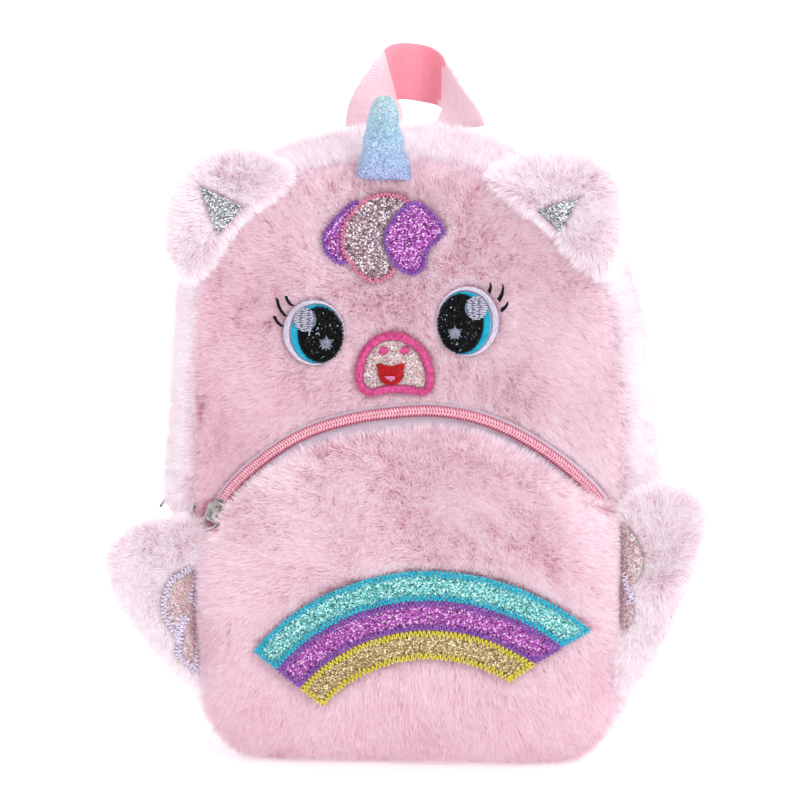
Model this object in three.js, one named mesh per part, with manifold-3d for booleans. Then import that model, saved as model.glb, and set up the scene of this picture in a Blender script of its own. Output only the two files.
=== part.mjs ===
// Plush unicorn backpack for a small child, in millimetres. It stands on its flat base with +Z up,
// the face looks along -Y, and the origin is the middle of the base on the floor.

import * as THREE from 'three';
import Module from 'manifold-3d';

const wasm = await Module();
wasm.setup();

// Driving sizes of the bag
const bodyWidth = 180;        // between the front seams at the widest place
const bodyHeight = 258;       // floor to the top of the front seam
const bodyDepth = 70;         // front seam to back seam
const sideBulge = 14;         // how far the gusset stands out past the seams
const wingBulge = 3;          // what it stands out more beside the wings
const faceCrown = 13;         // how far the face stands out before the front seam
const backCrown = 4;          // the same for the back
const plush = 7;              // backing cloth and pressed pile together
const pocketPuff = 12;        // hollow depth of the front pocket
const lockHeight = 1.3;       // how far a lock of the pile stands out
const gap = 0.3;              // clearance between pieces that touch
const trimLift = 0.4;         // clearance under a sewn-on patch, which lies on the pile
const patchThickness = 0.8;   // glitter cloth

const outlineSteps = 60;
const middle = new THREE.Vector2(0, bodyHeight * 0.5);
const floorLevel = 0;

// Front seam, from the floor up: height is a share of bodyHeight, left and right of half of bodyWidth
const seamRows = [
  { height: 0.010, left: 0.556, right: 0.556 },
  { height: 0.019, left: 0.800, right: 0.800 },
  { height: 0.066, left: 0.935, right: 0.935 },
  { height: 0.174, left: 0.978, right: 0.983 },
  { height: 0.310, left: 0.989, right: 1.000 },
  { height: 0.465, left: 1.000, right: 1.000 },
  { height: 0.600, left: 0.994, right: 0.989 },
  { height: 0.698, left: 0.983, right: 0.956 },
  { height: 0.783, left: 0.961, right: 0.911 },
  { height: 0.845, left: 0.911, right: 0.817 },
  { height: 0.888, left: 0.844, right: 0.694 },
  { height: 0.934, left: 0.717, right: 0.550 },
  { height: 0.973, left: 0.545, right: 0.400 },
  { height: 0.992, left: 0.289, right: 0.233 },
];

// Pocket zip, as shares of half of bodyWidth across and of bodyHeight up
const zipRows = [
  { across: -0.930, up: 0.413 },
  { across: -0.872, up: 0.452 },
  { across: -0.738, up: 0.503 },
  { across: -0.499, up: 0.562 },
  { across: -0.261, up: 0.591 },
  { across: -0.024, up: 0.604 },
  { across: 0.163, up: 0.606 },
  { across: 0.352, up: 0.594 },
  { across: 0.540, up: 0.566 },
  { across: 0.729, up: 0.522 },
  { across: 0.871, up: 0.476 },
  { across: 0.930, up: 0.450 },
];

const colours = {
  fur: 0xf3c6d3,
  furPale: 0xf3e3f1,
  webbing: 0xffc0d0,
  tape: 0xe9d6e6,
  coil: 0xe39aa9,
  metal: 0xb9bac0,
  darkMetal: 0x55565c,
  silver: 0xb8b9c4,
  horn: 0xb9d4ee,
  violet: 0xb84fbf,
  dusty: 0xaf8f9d,
  teal: 0x5cd0d8,
  gold: 0xc8ae6a,
  white: 0xf4f2f6,
  black: 0x1c1a20,
  grey: 0x8f939b,
  muzzle: 0xdcb4c4,
  rim: 0xd7a0b6,
  red: 0xbb111a,
  tongue: 0xf0a0a8,
  wingPatch: 0xe3c6cf,
};

const mix = (a, b, share) => a + (b - a) * share;

const vec = (x, y, z) => new THREE.Vector3(x, y, z);

/** Closed smooth outline in the x-z plane with the share of the way out from its middle at any point. */
class Outline {
  constructor(points, centre) {
    const knots = points.map((p) => vec(p.x, 0, p.y));
    this.curve = new THREE.CatmullRomCurve3(knots, true, 'centripetal');
    this.curve.arcLengthDivisions = 1200;
    this.centre = centre;
    this.rays = this.curve.getSpacedPoints(900).map((p) => {
      const dx = p.x - centre.x;
      const dz = p.z - centre.y;
      return { angle: Math.atan2(dz, dx), reach: Math.hypot(dx, dz) };
    }).sort((a, b) => a.angle - b.angle);
  }

  at(t) {
    const share = ((t % 1) + 1) % 1;
    const p = this.curve.getPointAt(share);
    const d = this.curve.getTangentAt(share);
    return { x: p.x, z: p.z, nx: d.z, nz: -d.x };
  }

  reach(angle) {
    let low = 0;
    let high = this.rays.length - 1;
    while (high - low > 1) {
      const probe = (low + high) >> 1;
      if (this.rays[probe].angle < angle) {
        low = probe;
      } else {
        high = probe;
      }
    }
    return 0.5 * (this.rays[low].reach + this.rays[high].reach);
  }

  share(x, z) {
    const dx = x - this.centre.x;
    const dz = z - this.centre.y;
    return Math.hypot(dx, dz) / this.reach(Math.atan2(dz, dx));
  }
}

/** Curve over x that gives the height of the pocket zip. */
function zipHeight(x) {
  const half = bodyWidth / 2;
  const first = zipRows[0];
  const last = zipRows[zipRows.length - 1];
  const across = Math.min(Math.max(x / half, first.across), last.across);
  const right = Math.max(1, zipRows.findIndex((row) => row.across >= across));
  const a = zipRows[right - 1];
  const b = zipRows[right];
  return bodyHeight * mix(a.up, b.up, (across - a.across) / (b.across - a.across));
}

const seamKnots = [
  new THREE.Vector2(0, seamRows[0].height * bodyHeight),
  ...seamRows.map((row) => new THREE.Vector2(row.right * bodyWidth / 2, row.height * bodyHeight)),
  new THREE.Vector2(0, bodyHeight),
  ...[...seamRows].reverse().map(
    (row) => new THREE.Vector2(-row.left * bodyWidth / 2, row.height * bodyHeight)),
];
const seam = new Outline(seamKnots, middle);

/** Depth of the face's outer surface before the back of the bag, as a y value. */
function faceY(x, z) {
  const q = Math.min(1, seam.share(x, z));
  return -bodyDepth / 2 - faceCrown * (1 - q ** 3) ** 0.75;
}

/** The same for the outer surface of the front pocket. */
function pocketY(x, z) {
  const q = Math.min(1, seam.share(x, z));
  const below = Math.max(0, zipHeight(x) - z);
  const rise = 1 - Math.exp(-below / 22);
  const edge = (1 - q ** 7) ** 0.6;
  return faceY(x, z) - gap - plush - pocketPuff * rise * edge;
}

/** One closed body from triangles, with its faces outward. */
function solid(name, triangles, colour) {
  const keys = new Map();
  const positions = [];
  const index = [];
  const idOf = (p) => {
    const key = [p.x, p.y, p.z].map((v) => Math.round(v * 1e4)).join();
    if (!keys.has(key)) {
      keys.set(key, positions.length / 3);
      positions.push(p.x, p.y, p.z);
    }
    return keys.get(key);
  };
  let volume = 0;
  for (const [a, b, c] of triangles) {
    const ids = [idOf(a), idOf(b), idOf(c)];
    if (new Set(ids).size === 3) {
      index.push(ids);
      volume += a.dot(b.clone().cross(c));
    }
  }
  if (volume < 0) {
    index.forEach((ids) => ids.reverse());
  }
  const geometry = new THREE.BufferGeometry();
  geometry.setAttribute('position', new THREE.Float32BufferAttribute(positions, 3));
  geometry.setIndex(index.flat());
  geometry.computeVertexNormals();
  const mesh = new THREE.Mesh(geometry, new THREE.MeshStandardMaterial({ color: colour, roughness: 0.8 }));
  mesh.name = name;
  return mesh;
}

/** Triangles of a wall between two grids of points. With wrap, its last row joins the first. */
function wall(outer, inner, wrap = false) {
  const triangles = [];
  const quad = (a, b, c, d) => triangles.push([a, b, c], [a, c, d]);
  const rows = outer.length;
  const next = (i) => (i + 1) % rows;
  const last = wrap ? rows : rows - 1;
  for (let i = 0; i < last; i += 1) {
    const o = outer[i];
    const p = outer[next(i)];
    const m = inner[i];
    const n = inner[next(i)];
    for (let j = 0; j + 1 < o.length; j += 1) {
      quad(o[j], p[j], p[j + 1], o[j + 1]);
    }
    for (let j = 0; j + 1 < m.length; j += 1) {
      quad(m[j], m[j + 1], n[j + 1], n[j]);
    }
    quad(o[0], m[0], n[0], p[0]);
    quad(o.at(-1), p.at(-1), n.at(-1), m.at(-1));
  }
  if (!wrap) {
    for (let j = 0; j + 1 < outer[0].length; j += 1) {
      quad(outer[0][j], outer[0][j + 1], inner[0][j + 1], inner[0][j]);
      quad(outer[rows - 1][j], inner[rows - 1][j], inner[rows - 1][j + 1], outer[rows - 1][j + 1]);
    }
  }
  return triangles;
}

/** Triangles of a body through closed sections, with both ends shut, or joined in a ring. */
function loft(sections, ring = false) {
  const triangles = [];
  const count = sections[0].length;
  const last = ring ? sections.length : sections.length - 1;
  for (let i = 0; i < last; i += 1) {
    const a = sections[i];
    const b = sections[(i + 1) % sections.length];
    for (let j = 0; j < count; j += 1) {
      const k = (j + 1) % count;
      triangles.push([a[j], b[j], b[k]], [a[j], b[k], a[k]]);
    }
  }
  if (!ring) {
    const end = sections.at(-1);
    for (let j = 1; j + 1 < count; j += 1) {
      triangles.push([sections[0][0], sections[0][j], sections[0][j + 1]]);
      triangles.push([end[0], end[j + 1], end[j]]);
    }
  }
  return triangles;
}

/** Grid of a fan: a row for each point of an outline, with places from its middle outward. */
function fan(rim, centre, rings, place) {
  return rim.map((p, i) => {
    const row = [];
    for (let j = 0; j <= rings; j += 1) {
      const q = j / rings;
      row.push(place(mix(centre.x, p.x, q), mix(centre.y, p.z, q), q, i, j));
    }
    return row;
  });
}

/** Patch of cloth over a surface, from an outline round a middle. */
function patch(name, rim, centre, rings, surface, lift, thickness, colour) {
  const layer = (height) => fan(rim, centre, rings, (x, z) => vec(x, surface(x, z) - height, z));
  return solid(name, wall(layer(lift + thickness), layer(lift), true), colour);
}

/** Strip of cloth over a surface, between two edges given as functions of a share. */
function band(name, edgeA, edgeB, steps, cross, surface, lift, thickness, colour) {
  const layer = (height) => {
    const rows = [];
    for (let i = 0; i <= steps; i += 1) {
      const a = edgeA(i / steps);
      const b = edgeB(i / steps);
      const row = [];
      for (let j = 0; j <= cross; j += 1) {
        const x = mix(a.x, b.x, j / cross);
        const z = mix(a.y, b.y, j / cross);
        row.push(vec(x, surface(x, z) - height, z));
      }
      rows.push(row);
    }
    return rows;
  };
  return solid(name, wall(layer(lift + thickness), layer(lift)), colour);
}

/** Place on the front, from shares of half of bodyWidth across and of bodyHeight up. */
function spot([across, up]) {
  return new THREE.Vector2(across * bodyWidth / 2, up * bodyHeight);
}

/** Points round a closed smooth outline, given in shares. */
function loop(points, count) {
  const knots = points.map(spot).map((p) => vec(p.x, 0, p.y));
  const curve = new THREE.CatmullRomCurve3(knots, true, 'centripetal');
  return curve.getSpacedPoints(count).slice(0, count);
}

/** Points round an outline with straight sides. */
function polygon(corners, perSide) {
  return corners.flatMap((a, i) => {
    const b = corners[(i + 1) % corners.length];
    return Array.from({ length: perSide }, (_, k) => a.clone().lerp(b, k / perSide))
      .map((p) => vec(p.x, 0, p.y));
  });
}

/** Points round an ellipse. */
function ellipse(cx, cz, rx, rz, count) {
  return Array.from({ length: count }, (_, k) => {
    const a = 2 * Math.PI * k / count;
    return vec(cx + rx * Math.cos(a), 0, cz + rz * Math.sin(a));
  });
}

/** Flat strip of webbing or padding along a path, from its middle points, width directions and sizes. */
function strip(name, stations, colour) {
  const sections = stations.map((station, i) => {
    const ahead = stations[Math.min(i + 1, stations.length - 1)].p;
    const behind = stations[Math.max(i - 1, 0)].p;
    const along = ahead.clone().sub(behind).normalize();
    const side = station.side.clone().addScaledVector(along, -station.side.dot(along)).normalize();
    const up = along.clone().cross(side);
    const half = station.width / 2;
    const thick = station.thickness / 2;
    const soft = Math.min(thick * 0.8, half * 0.4);
    const corners = [
      [-half, -thick + soft], [-half + soft, -thick], [half - soft, -thick], [half, -thick + soft],
      [half, thick - soft], [half - soft, thick], [-half + soft, thick], [-half, thick - soft],
    ];
    return corners.map(([s, u]) => station.p.clone().addScaledVector(side, s).addScaledVector(up, u));
  });
  return solid(name, loft(sections), colour);
}

// Body panels

const zipDrop = 5.6;        // woven tape seen below the coil at the middle of the pocket zip
const coilWidth = 4.3;
const coilHeight = 3.2;

/** Whether a patch, the pocket or a seam covers this place of the face, so that its pile lies flat. */
function faceCovered(x, z) {
  const near = (point, reach) => spot(point).distanceTo(new THREE.Vector2(x, z)) < reach;
  return z < zipHeight(x) + 17 || near([-0.433, 0.733], 22) || near([0.294, 0.753], 22)
    || near([-0.048, 0.682], 25) || near([-0.089, 0.891], 34);
}

/** Height of the pile's locks at a grid point of a panel. */
function lock(i, j) {
  return (i + j) % 2 === 0 ? lockHeight : 0;
}

function panelRim(inset) {
  return Array.from({ length: outlineSteps }, (_, k) => {
    const s = seam.at(k / outlineSteps);
    return vec(s.x - s.nx * inset, 0, Math.max(s.z - s.nz * inset, floorLevel + gap + inset));
  });
}

function frontPanel() {
  const rings = 8;
  const outer = fan(panelRim(0), middle, rings, (x, z, q, i, j) => {
    const loose = j > 2 && j < rings - 1 && !faceCovered(x, z);
    return vec(x, faceY(x, z) - gap / 2 - (loose ? lock(i, j) : 0), z);
  });
  const inner = fan(panelRim(plush), middle, 2, (x, z, q) => {
    const dome = faceCrown * (1 - q ** 3) ** 0.75;
    return vec(x, -bodyDepth / 2 - dome + plush - gap / 2, z);
  });
  return solid('front_panel', wall(outer, inner, true), colours.fur);
}

function backPanel() {
  const rings = 3;
  const shape = (q) => bodyDepth / 2 + gap / 2 + backCrown * (1 - q ** 3) ** 0.75;
  const outer = fan(panelRim(0), middle, rings, (x, z, q) => vec(x, shape(q), z));
  const inner = fan(panelRim(plush), middle, 1, (x, z, q) => vec(x, shape(q) - plush, z));
  return solid('back_panel', wall(outer, inner, true), colours.fur);
}

// Gusset and main zip

const zipY = 0;                // the main zip runs round the middle of the gusset
const sliderLength = 9.5;
const sliderWidth = 8;
const sliderBase = 3.4;
const bridgeHeight = 2.8;
const pullWire = 1.3;
const mainZipEnd = 0.43;       // height of both ends of the main zip, as a share of bodyHeight

/** Share of the seam's length at which one side reaches a height. */
function seamShare(height, rightSide) {
  let low = rightSide ? 0.05 : 0.95;
  let high = rightSide ? 0.45 : 0.55;
  for (let k = 0; k < 40; k += 1) {
    const probe = (low + high) / 2;
    if (seam.at(probe).z < height) {
      low = probe;
    } else {
      high = probe;
    }
  }
  return low;
}

const zipStart = seamShare(mainZipEnd * bodyHeight, true);
const zipStop = seamShare(mainZipEnd * bodyHeight, false);

/** Place on the gusset, given its share round the seam, its y and how deep it lies. */
function gussetPlace(t, y, depth) {
  const s = seam.at(t);
  const share = Math.min(1, Math.max(0, y / bodyDepth + 0.5));
  const beside = Math.exp(-(((s.z - 112) / 38) ** 2));
  const swell = Math.sin(Math.PI * share) ** 0.6;
  const out = (sideBulge + wingBulge * beside) * swell - depth;
  return vec(s.x + s.nx * out, y, Math.max(s.z + s.nz * out, floorLevel + depth));
}

/** Half of the slot between the strips: it closes over the coil and opens round the slider. */
function slotHalf(t) {
  const away = Math.abs(zipStop - t) * seam.curve.getLength();
  const open = 1 - Math.min(1, Math.max(0, (away - sliderLength - 3) / 8));
  return coilWidth / 2 + 2 * gap + (sliderWidth - coilWidth) / 2 * open;
}

/** One strip of the gusset, between two edges. A seam edge is mitred to fit the panel's. */
function gussetStrip(name, from, to, front, rear, steps, cross, locks, colour) {
  const seamEdge = (sign) => (t, depth) => sign * (bodyDepth / 2 - gap - depth);
  const zipEdge = (sign) => (t) => zipY + sign * slotHalf(t);
  const edgeOf = (kind, sign) => (kind === 'seam' ? seamEdge(sign) : zipEdge(-sign));
  const layer = (depth) => Array.from({ length: steps + 1 }, (_, i) => {
    const t = mix(from, to, i / steps);
    return Array.from({ length: cross + 1 }, (_unused, j) => {
      const y = mix(edgeOf(front, -1)(t, depth), edgeOf(rear, 1)(t, depth), j / cross);
      const raised = !depth && locks && j > 0 && j < cross && i > 0 && i < steps;
      return gussetPlace(t, y, depth - (raised ? lock(i, j) : 0));
    });
  });
  return solid(name, wall(layer(0), layer(plush)), colour);
}

function gussets() {
  const split = gap / seam.curve.getLength();
  const ends = [zipStart + split, zipStop - split];
  return [
    gussetStrip('gusset_front', ...ends, 'seam', 'zip', 32, 4, true, colours.furPale),
    gussetStrip('gusset_rear', ...ends, 'zip', 'seam', 32, 4, true, colours.furPale),
    gussetStrip('gusset_base', zipStop, zipStart + 1, 'seam', 'seam', 26, 4, false, colours.furPale),
  ];
}

/** Section of a zip coil at a place, flattened, across one direction and up another. */
function coilSection(p, across, up) {
  return Array.from({ length: 6 }, (_, k) => {
    const a = Math.PI * k / 3;
    return p.clone()
      .addScaledVector(across, Math.cos(a) * coilWidth / 2)
      .addScaledVector(up, Math.sin(a) * coilHeight / 2);
  });
}

/** Zip slider with the bridge that its pull hangs in, along +x, with +z away from the cloth. */
function sliderShape() {
  const plate = new THREE.Shape();
  plate.moveTo(-sliderLength / 2, -sliderWidth * 0.3);
  plate.lineTo(-sliderLength * 0.3, -sliderWidth * 0.5);
  plate.lineTo(sliderLength * 0.3, -sliderWidth * 0.5);
  plate.lineTo(sliderLength / 2, -sliderWidth * 0.3);
  plate.lineTo(sliderLength / 2, sliderWidth * 0.3);
  plate.lineTo(sliderLength * 0.3, sliderWidth * 0.5);
  plate.lineTo(-sliderLength * 0.3, sliderWidth * 0.5);
  plate.lineTo(-sliderLength / 2, sliderWidth * 0.3);
  plate.closePath();
  const bevel = 0.5;
  const base = new THREE.ExtrudeGeometry(plate, {
    depth: sliderBase - 2 * bevel,
    bevelThickness: bevel,
    bevelSize: bevel,
    bevelOffset: -bevel,
    bevelSegments: 1,
  });
  base.translate(0, 0, bevel);
  const side = new THREE.Shape();
  side.moveTo(-sliderLength * 0.36, 0);
  side.lineTo(sliderLength * 0.36, 0);
  side.lineTo(sliderLength * 0.28, bridgeHeight + 0.4);
  side.lineTo(-sliderLength * 0.28, bridgeHeight + 0.4);
  side.closePath();
  const eye = new THREE.Path();
  const eyeHalf = pullWire / 2 + 0.45;
  eye.moveTo(-eyeHalf, 0.55);
  eye.lineTo(-eyeHalf, 0.55 + 2 * eyeHalf);
  eye.lineTo(eyeHalf, 0.55 + 2 * eyeHalf);
  eye.lineTo(eyeHalf, 0.55);
  eye.closePath();
  side.holes.push(eye);
  const bridge = new THREE.ExtrudeGeometry(side, { depth: 2, bevelEnabled: false });
  bridge.translate(0, 0, -1);
  bridge.rotateX(Math.PI / 2);
  bridge.translate(0, 0, sliderBase - 0.4);
  return trianglesOf(blockOf(base).add(blockOf(bridge)));
}

/** Geometry as a solid that can be joined and cut. */
function blockOf(geometry) {
  const plain = geometry.index ? geometry.toNonIndexed() : geometry;
  const p = plain.attributes.position;
  const keys = new Map();
  const points = [];
  const triVerts = [];
  for (let k = 0; k < p.count; k += 1) {
    const xyz = [p.getX(k), p.getY(k), p.getZ(k)];
    const key = xyz.map((v) => Math.round(v * 1e4)).join();
    if (!keys.has(key)) {
      keys.set(key, points.length / 3);
      points.push(...xyz);
    }
    triVerts.push(keys.get(key));
  }
  return new wasm.Manifold(new wasm.Mesh({
    numProp: 3, vertProperties: new Float32Array(points), triVerts: new Uint32Array(triVerts),
  }));
}

/** Triangles of a joined or cut solid. */
function trianglesOf(block) {
  const mesh = block.getMesh();
  const at = (k) => vec(...mesh.vertProperties.slice(3 * k, 3 * k + 3));
  const triangles = [];
  for (let k = 0; k < mesh.triVerts.length; k += 3) {
    triangles.push([at(mesh.triVerts[k]), at(mesh.triVerts[k + 1]), at(mesh.triVerts[k + 2])]);
  }
  return triangles;
}

/** Wire loop of a zip pull, hinged at the origin about y, hanging along +x. */
function pullShape(length, width) {
  const r = pullWire / 2;
  const path = [
    [0, -width / 2 + 1.2], [0, 0], [0, width / 2 - 1.2], [1.2, width / 2],
    [length * 0.55, width / 2], [length - 1, width / 2 - 1.4], [length, 0],
    [length - 1, -width / 2 + 1.4], [length * 0.55, -width / 2], [1.2, -width / 2],
  ];
  const sections = path.map(([x, y], i) => {
    const [ax, ay] = path[(i + 1) % path.length];
    const [bx, by] = path[(i + path.length - 1) % path.length];
    const along = vec(ax - bx, ay - by, 0).normalize();
    const side = vec(along.y, -along.x, 0);
    return Array.from({ length: 6 }, (_, k) => {
      const a = Math.PI * k / 3;
      return vec(x, y, 0).addScaledVector(side, r * Math.cos(a)).add(vec(0, 0, r * Math.sin(a)));
    });
  });
  return loft(sections, true);
}

/** Moves triangles from their own axes to a place, with x along one direction and z along another. */
function placed(triangles, origin, xAxis, zAxis) {
  const x = xAxis.clone().normalize();
  const z = zAxis.clone().addScaledVector(x, -zAxis.dot(x)).normalize();
  const y = z.clone().cross(x);
  const matrix = new THREE.Matrix4().makeBasis(x, y, z).setPosition(origin);
  return triangles.map((triangle) => triangle.map((p) => p.clone().applyMatrix4(matrix)));
}

function mainZip() {
  const steps = 32;
  const under = plush + gap;
  const tapeWidth = 22;
  const tapeThickness = 0.7;
  const trim = sliderLength / seam.curve.getLength();
  const layer = (depth, from, to) => Array.from({ length: steps + 1 }, (_, i) => {
    const t = mix(from, to, i / steps);
    return [-0.5, 0.5].map((w) => gussetPlace(t, zipY + w * tapeWidth, depth));
  });
  const split = 2 * gap / seam.curve.getLength();
  const tape = wall(
    layer(under, zipStart + split, zipStop - split),
    layer(under + tapeThickness, zipStart + split, zipStop - split));
  const coilDepth = under - gap - coilHeight / 2;
  const sections = Array.from({ length: steps + 1 }, (_, i) => {
    const t = mix(zipStart + split, zipStop - trim - 3 * split, i / steps);
    const s = seam.at(t);
    return coilSection(gussetPlace(t, zipY, coilDepth), vec(0, 1, 0), vec(s.nx, 0, s.nz));
  });
  const end = zipStop - trim / 2 - split;
  const s = seam.at(end);
  const out = vec(s.nx, 0, s.nz);
  const along = vec(s.nz, 0, -s.nx).multiplyScalar(s.nx > 0 ? 1 : -1);
  const seat = gussetPlace(end, zipY, under - gap);
  const slider = placed(sliderShape(), seat, along, out);
  const hinge = seat.clone().addScaledVector(out, sliderBase - 0.4 + 0.55 + pullWire / 2 + 0.45);
  const hang = along.clone().addScaledVector(out, 0.75).normalize();
  const pull = placed(pullShape(14, 5.4), hinge, hang, out);
  return [
    solid('main_zip_tape', tape, colours.tape),
    solid('main_zip_coil', loft(sections), colours.coil),
    solid('main_zip_slider', slider, colours.darkMetal),
    solid('main_zip_pull', pull, colours.darkMetal),
  ];
}

// Front pocket

const zipCurve = new THREE.CatmullRomCurve3(
  zipRows.map((row) => vec(row.across * bodyWidth / 2, 0, row.up * bodyHeight)), false, 'centripetal');
zipCurve.arcLengthDivisions = 800;

/** Place beside the pocket zip: how far along it, and how far below its middle line. */
function besideZip(share, below) {
  const p = zipCurve.getPointAt(share);
  const d = zipCurve.getTangentAt(share);
  return new THREE.Vector2(p.x + d.z * below, p.z - d.x * below);
}

/** Upper edge of the pocket, which leaves the tape in sight at the middle and none at the ends. */
function pocketTop(share) {
  const slider = (sliderWidth - coilWidth) / 2 * Math.exp(-((share * zipCurve.getLength() / 13) ** 4));
  return besideZip(share, coilWidth / 2 + 0.8 + slider + zipDrop * Math.sin(Math.PI * share) ** 0.8);
}

function pocketPanel() {
  const across = 32;
  const down = 7;
  const start = seamShare(zipRows.at(-1).up * bodyHeight - 3, true);
  const stop = seamShare(zipRows[0].up * bodyHeight - 3, false);
  const place = (i, j, inset) => {
    const u = i / across;
    const v = (j / down) ** 0.85;
    const top = pocketTop(u);
    const s = seam.at(mix(stop, start + 1, u));
    const low = { x: s.x - s.nx * inset, z: Math.max(s.z - s.nz * inset, floorLevel + gap) };
    return { x: mix(top.x, low.x, v), z: mix(top.y, low.z, v) };
  };
  const covered = (x, z) => {
    const r = Math.hypot(x - rainbowCentre.x, z - rainbowCentre.y);
    return r > rainbowEdges[3] - 6 && r < rainbowEdges[0] + 6 && z > 28;
  };
  const outer = [];
  const inner = [];
  for (let i = 0; i <= across; i += 1) {
    outer.push([]);
    inner.push([]);
    for (let j = 0; j <= down; j += 1) {
      const o = place(i, j, 0);
      const inside = i > 1 && i < across - 1 && j > 0 && j < down - 1;
      const raised = inside && !covered(o.x, o.z) ? lock(i, j) : 0;
      outer[i].push(vec(o.x, pocketY(o.x, o.z) - raised - gap, o.z));
      inner[i].push(vec(o.x, Math.min(pocketY(o.x, o.z) + plush, faceY(o.x, o.z) - gap) - gap, o.z));
    }
  }
  return solid('pocket_panel', wall(outer, inner), colours.fur);
}

function pocketZip() {
  const tapeLift = 2 * gap;
  const tapeThickness = 0.6;
  const coilLift = tapeLift + tapeThickness + gap;
  const trim = (sliderLength + 1) / zipCurve.getLength();
  const tape = band(
    'pocket_zip_tape', (u) => besideZip(u, -coilWidth / 2 - 0.9), (u) => besideZip(u, coilWidth / 2 + 0.4
      + zipDrop * Math.sin(Math.PI * u) ** 0.8), 34, 1, faceY, tapeLift, tapeThickness, colours.tape);
  const steps = 34;
  const sections = Array.from({ length: steps + 1 }, (_, i) => {
    const share = mix(trim, 0.995, i / steps);
    const p = besideZip(share, 0);
    const d = zipCurve.getTangentAt(share);
    const centre = vec(p.x, faceY(p.x, p.y) - coilLift - coilHeight / 2, p.y);
    return coilSection(centre, vec(d.z, 0, -d.x), vec(0, -1, 0));
  });
  const at = besideZip(trim * 0.45, 0);
  const d = zipCurve.getTangentAt(trim * 0.45);
  const out = vec(0, -1, 0);
  const seat = vec(at.x, faceY(at.x, at.y) - coilLift - 4 * gap, at.y);
  const slider = placed(sliderShape(), seat, vec(d.x, 0, d.z), out);
  const hinge = seat.clone().addScaledVector(out, sliderBase - 0.4 + 0.55 + pullWire / 2 + 0.45);
  const hang = vec(-d.x, -0.85, -d.z);
  const pull = placed(pullShape(8.5, 6), hinge, hang, out);
  return [
    tape,
    solid('pocket_zip_coil', loft(sections), colours.coil),
    solid('pocket_zip_slider', slider, colours.metal),
    solid('pocket_zip_pull', pull, colours.metal),
  ];
}

// Rainbow on the pocket: three bands about one centre, outermost first

const rainbowRadius = 97.8;
const rainbowBand = 12.8;
const rainbowCentre = spot([0.138, -0.025]);
const rainbowEdges = [0, 1, 2, 3].map((k) => rainbowRadius - k * rainbowBand);

function rainbow() {
  const leftEnd = 141 * Math.PI / 180;
  const rightEnd = [46.5, 49.5, 53, 56.6].map((degrees) => degrees * Math.PI / 180);
  const names = ['rainbow_outer', 'rainbow_middle', 'rainbow_inner'];
  const shades = [colours.teal, colours.violet, colours.gold];
  return names.map((name, k) => {
    const edge = (radius, end) => (u) => {
      const a = mix(leftEnd, end, u);
      return new THREE.Vector2(
        rainbowCentre.x + radius * Math.cos(a), rainbowCentre.y + radius * Math.sin(a));
    };
    return band(
      name, edge(rainbowEdges[k] - gap, rightEnd[k]), edge(rainbowEdges[k + 1] + gap, rightEnd[k + 1]),
      18, 1, pocketY, trimLift + 3 * gap, patchThickness, shades[k]);
  });
}

// Stuffed pieces sewn into the front seam: ears and wings

const stuffedThickness = 12;
const stuffedEdge = 1.2;

/** Place moved outward from the front seam, if it lies closer to it than a clearance. */
function clearOfSeam(p) {
  const q = seam.share(p.x, p.y);
  const limit = 1 + 0.6 / seam.reach(Math.atan2(p.y - middle.y, p.x - middle.x));
  return q < limit ? p.clone().sub(middle).multiplyScalar(limit / q).add(middle) : p;
}

/** Stuffed flat piece with a front surface that patches can follow. */
class Pillow {
  constructor(name, points, centre, steps, colour) {
    this.name = name;
    this.colour = colour;
    this.centre = spot(centre);
    this.seamY = -bodyDepth / 2 - gap - stuffedEdge / 2;
    this.outline = new Outline(points.map((point) => clearOfSeam(spot(point))), this.centre);
    this.rim = Array.from({ length: steps }, (_, k) => {
      const p = this.outline.at(k / steps);
      const clear = clearOfSeam(new THREE.Vector2(p.x, p.z));
      return { x: clear.x, z: clear.y };
    });
  }

  frontAt(q) {
    return this.seamY - (stuffedThickness - stuffedEdge) * (1 - Math.min(1, q) ** 3.6) ** 0.6;
  }

  frontY(x, z) {
    return this.frontAt(this.outline.share(x, z));
  }

  mesh(rings, locks) {
    const front = fan(this.rim, this.centre, rings, (x, z, q, i, j) => {
      const raised = locks && j > 1 && j < rings ? 0.7 * lock(i, j) : 0;
      return vec(x, this.frontAt(q) - raised, z);
    });
    const back = fan(this.rim, this.centre, 2, (x, z, q) => vec(
      x, this.seamY + stuffedEdge / 2 * (1 - q ** 2), z));
    return solid(this.name, wall(front, back, true), this.colour);
  }
}

function ears() {
  const left = new Pillow('ear_left', [
    [-0.561, 0.976], [-0.609, 1.002], [-0.694, 1.015], [-0.822, 1.022], [-0.933, 1.014],
    [-1.020, 0.990], [-1.078, 0.952], [-1.116, 0.907], [-1.116, 0.878], [-1.078, 0.849],
    [-1.020, 0.816], [-0.899, 0.860], [-0.711, 0.938],
  ], [-0.856, 0.926], 26, colours.fur);
  const right = new Pillow('ear_right', [
    [0.387, 0.976], [0.467, 0.998], [0.574, 1.014], [0.682, 1.016], [0.789, 1.014], [0.883, 1.006],
    [0.954, 0.986], [0.981, 0.950], [0.977, 0.911], [0.984, 0.876], [0.933, 0.829], [0.811, 0.845],
    [0.644, 0.915],
  ], [0.756, 0.934], 26, colours.fur);
  const inner = (name, pillow, points) => {
    const corners = points.map(spot);
    const centre = corners[0].clone().add(corners[1]).add(corners[2]).divideScalar(3);
    return patch(name, polygon(corners, 4), centre, 2, (x, z) => pillow.frontY(x, z),
      trimLift + 3 * gap, patchThickness, colours.silver);
  };
  return [
    left.mesh(4, false),
    right.mesh(4, false),
    inner('ear_inner_left', left, [[-0.967, 0.972], [-0.878, 0.891], [-0.756, 0.938]]),
    inner('ear_inner_right', right, [[0.811, 0.957], [0.606, 0.933], [0.717, 0.897]]),
  ];
}

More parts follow.
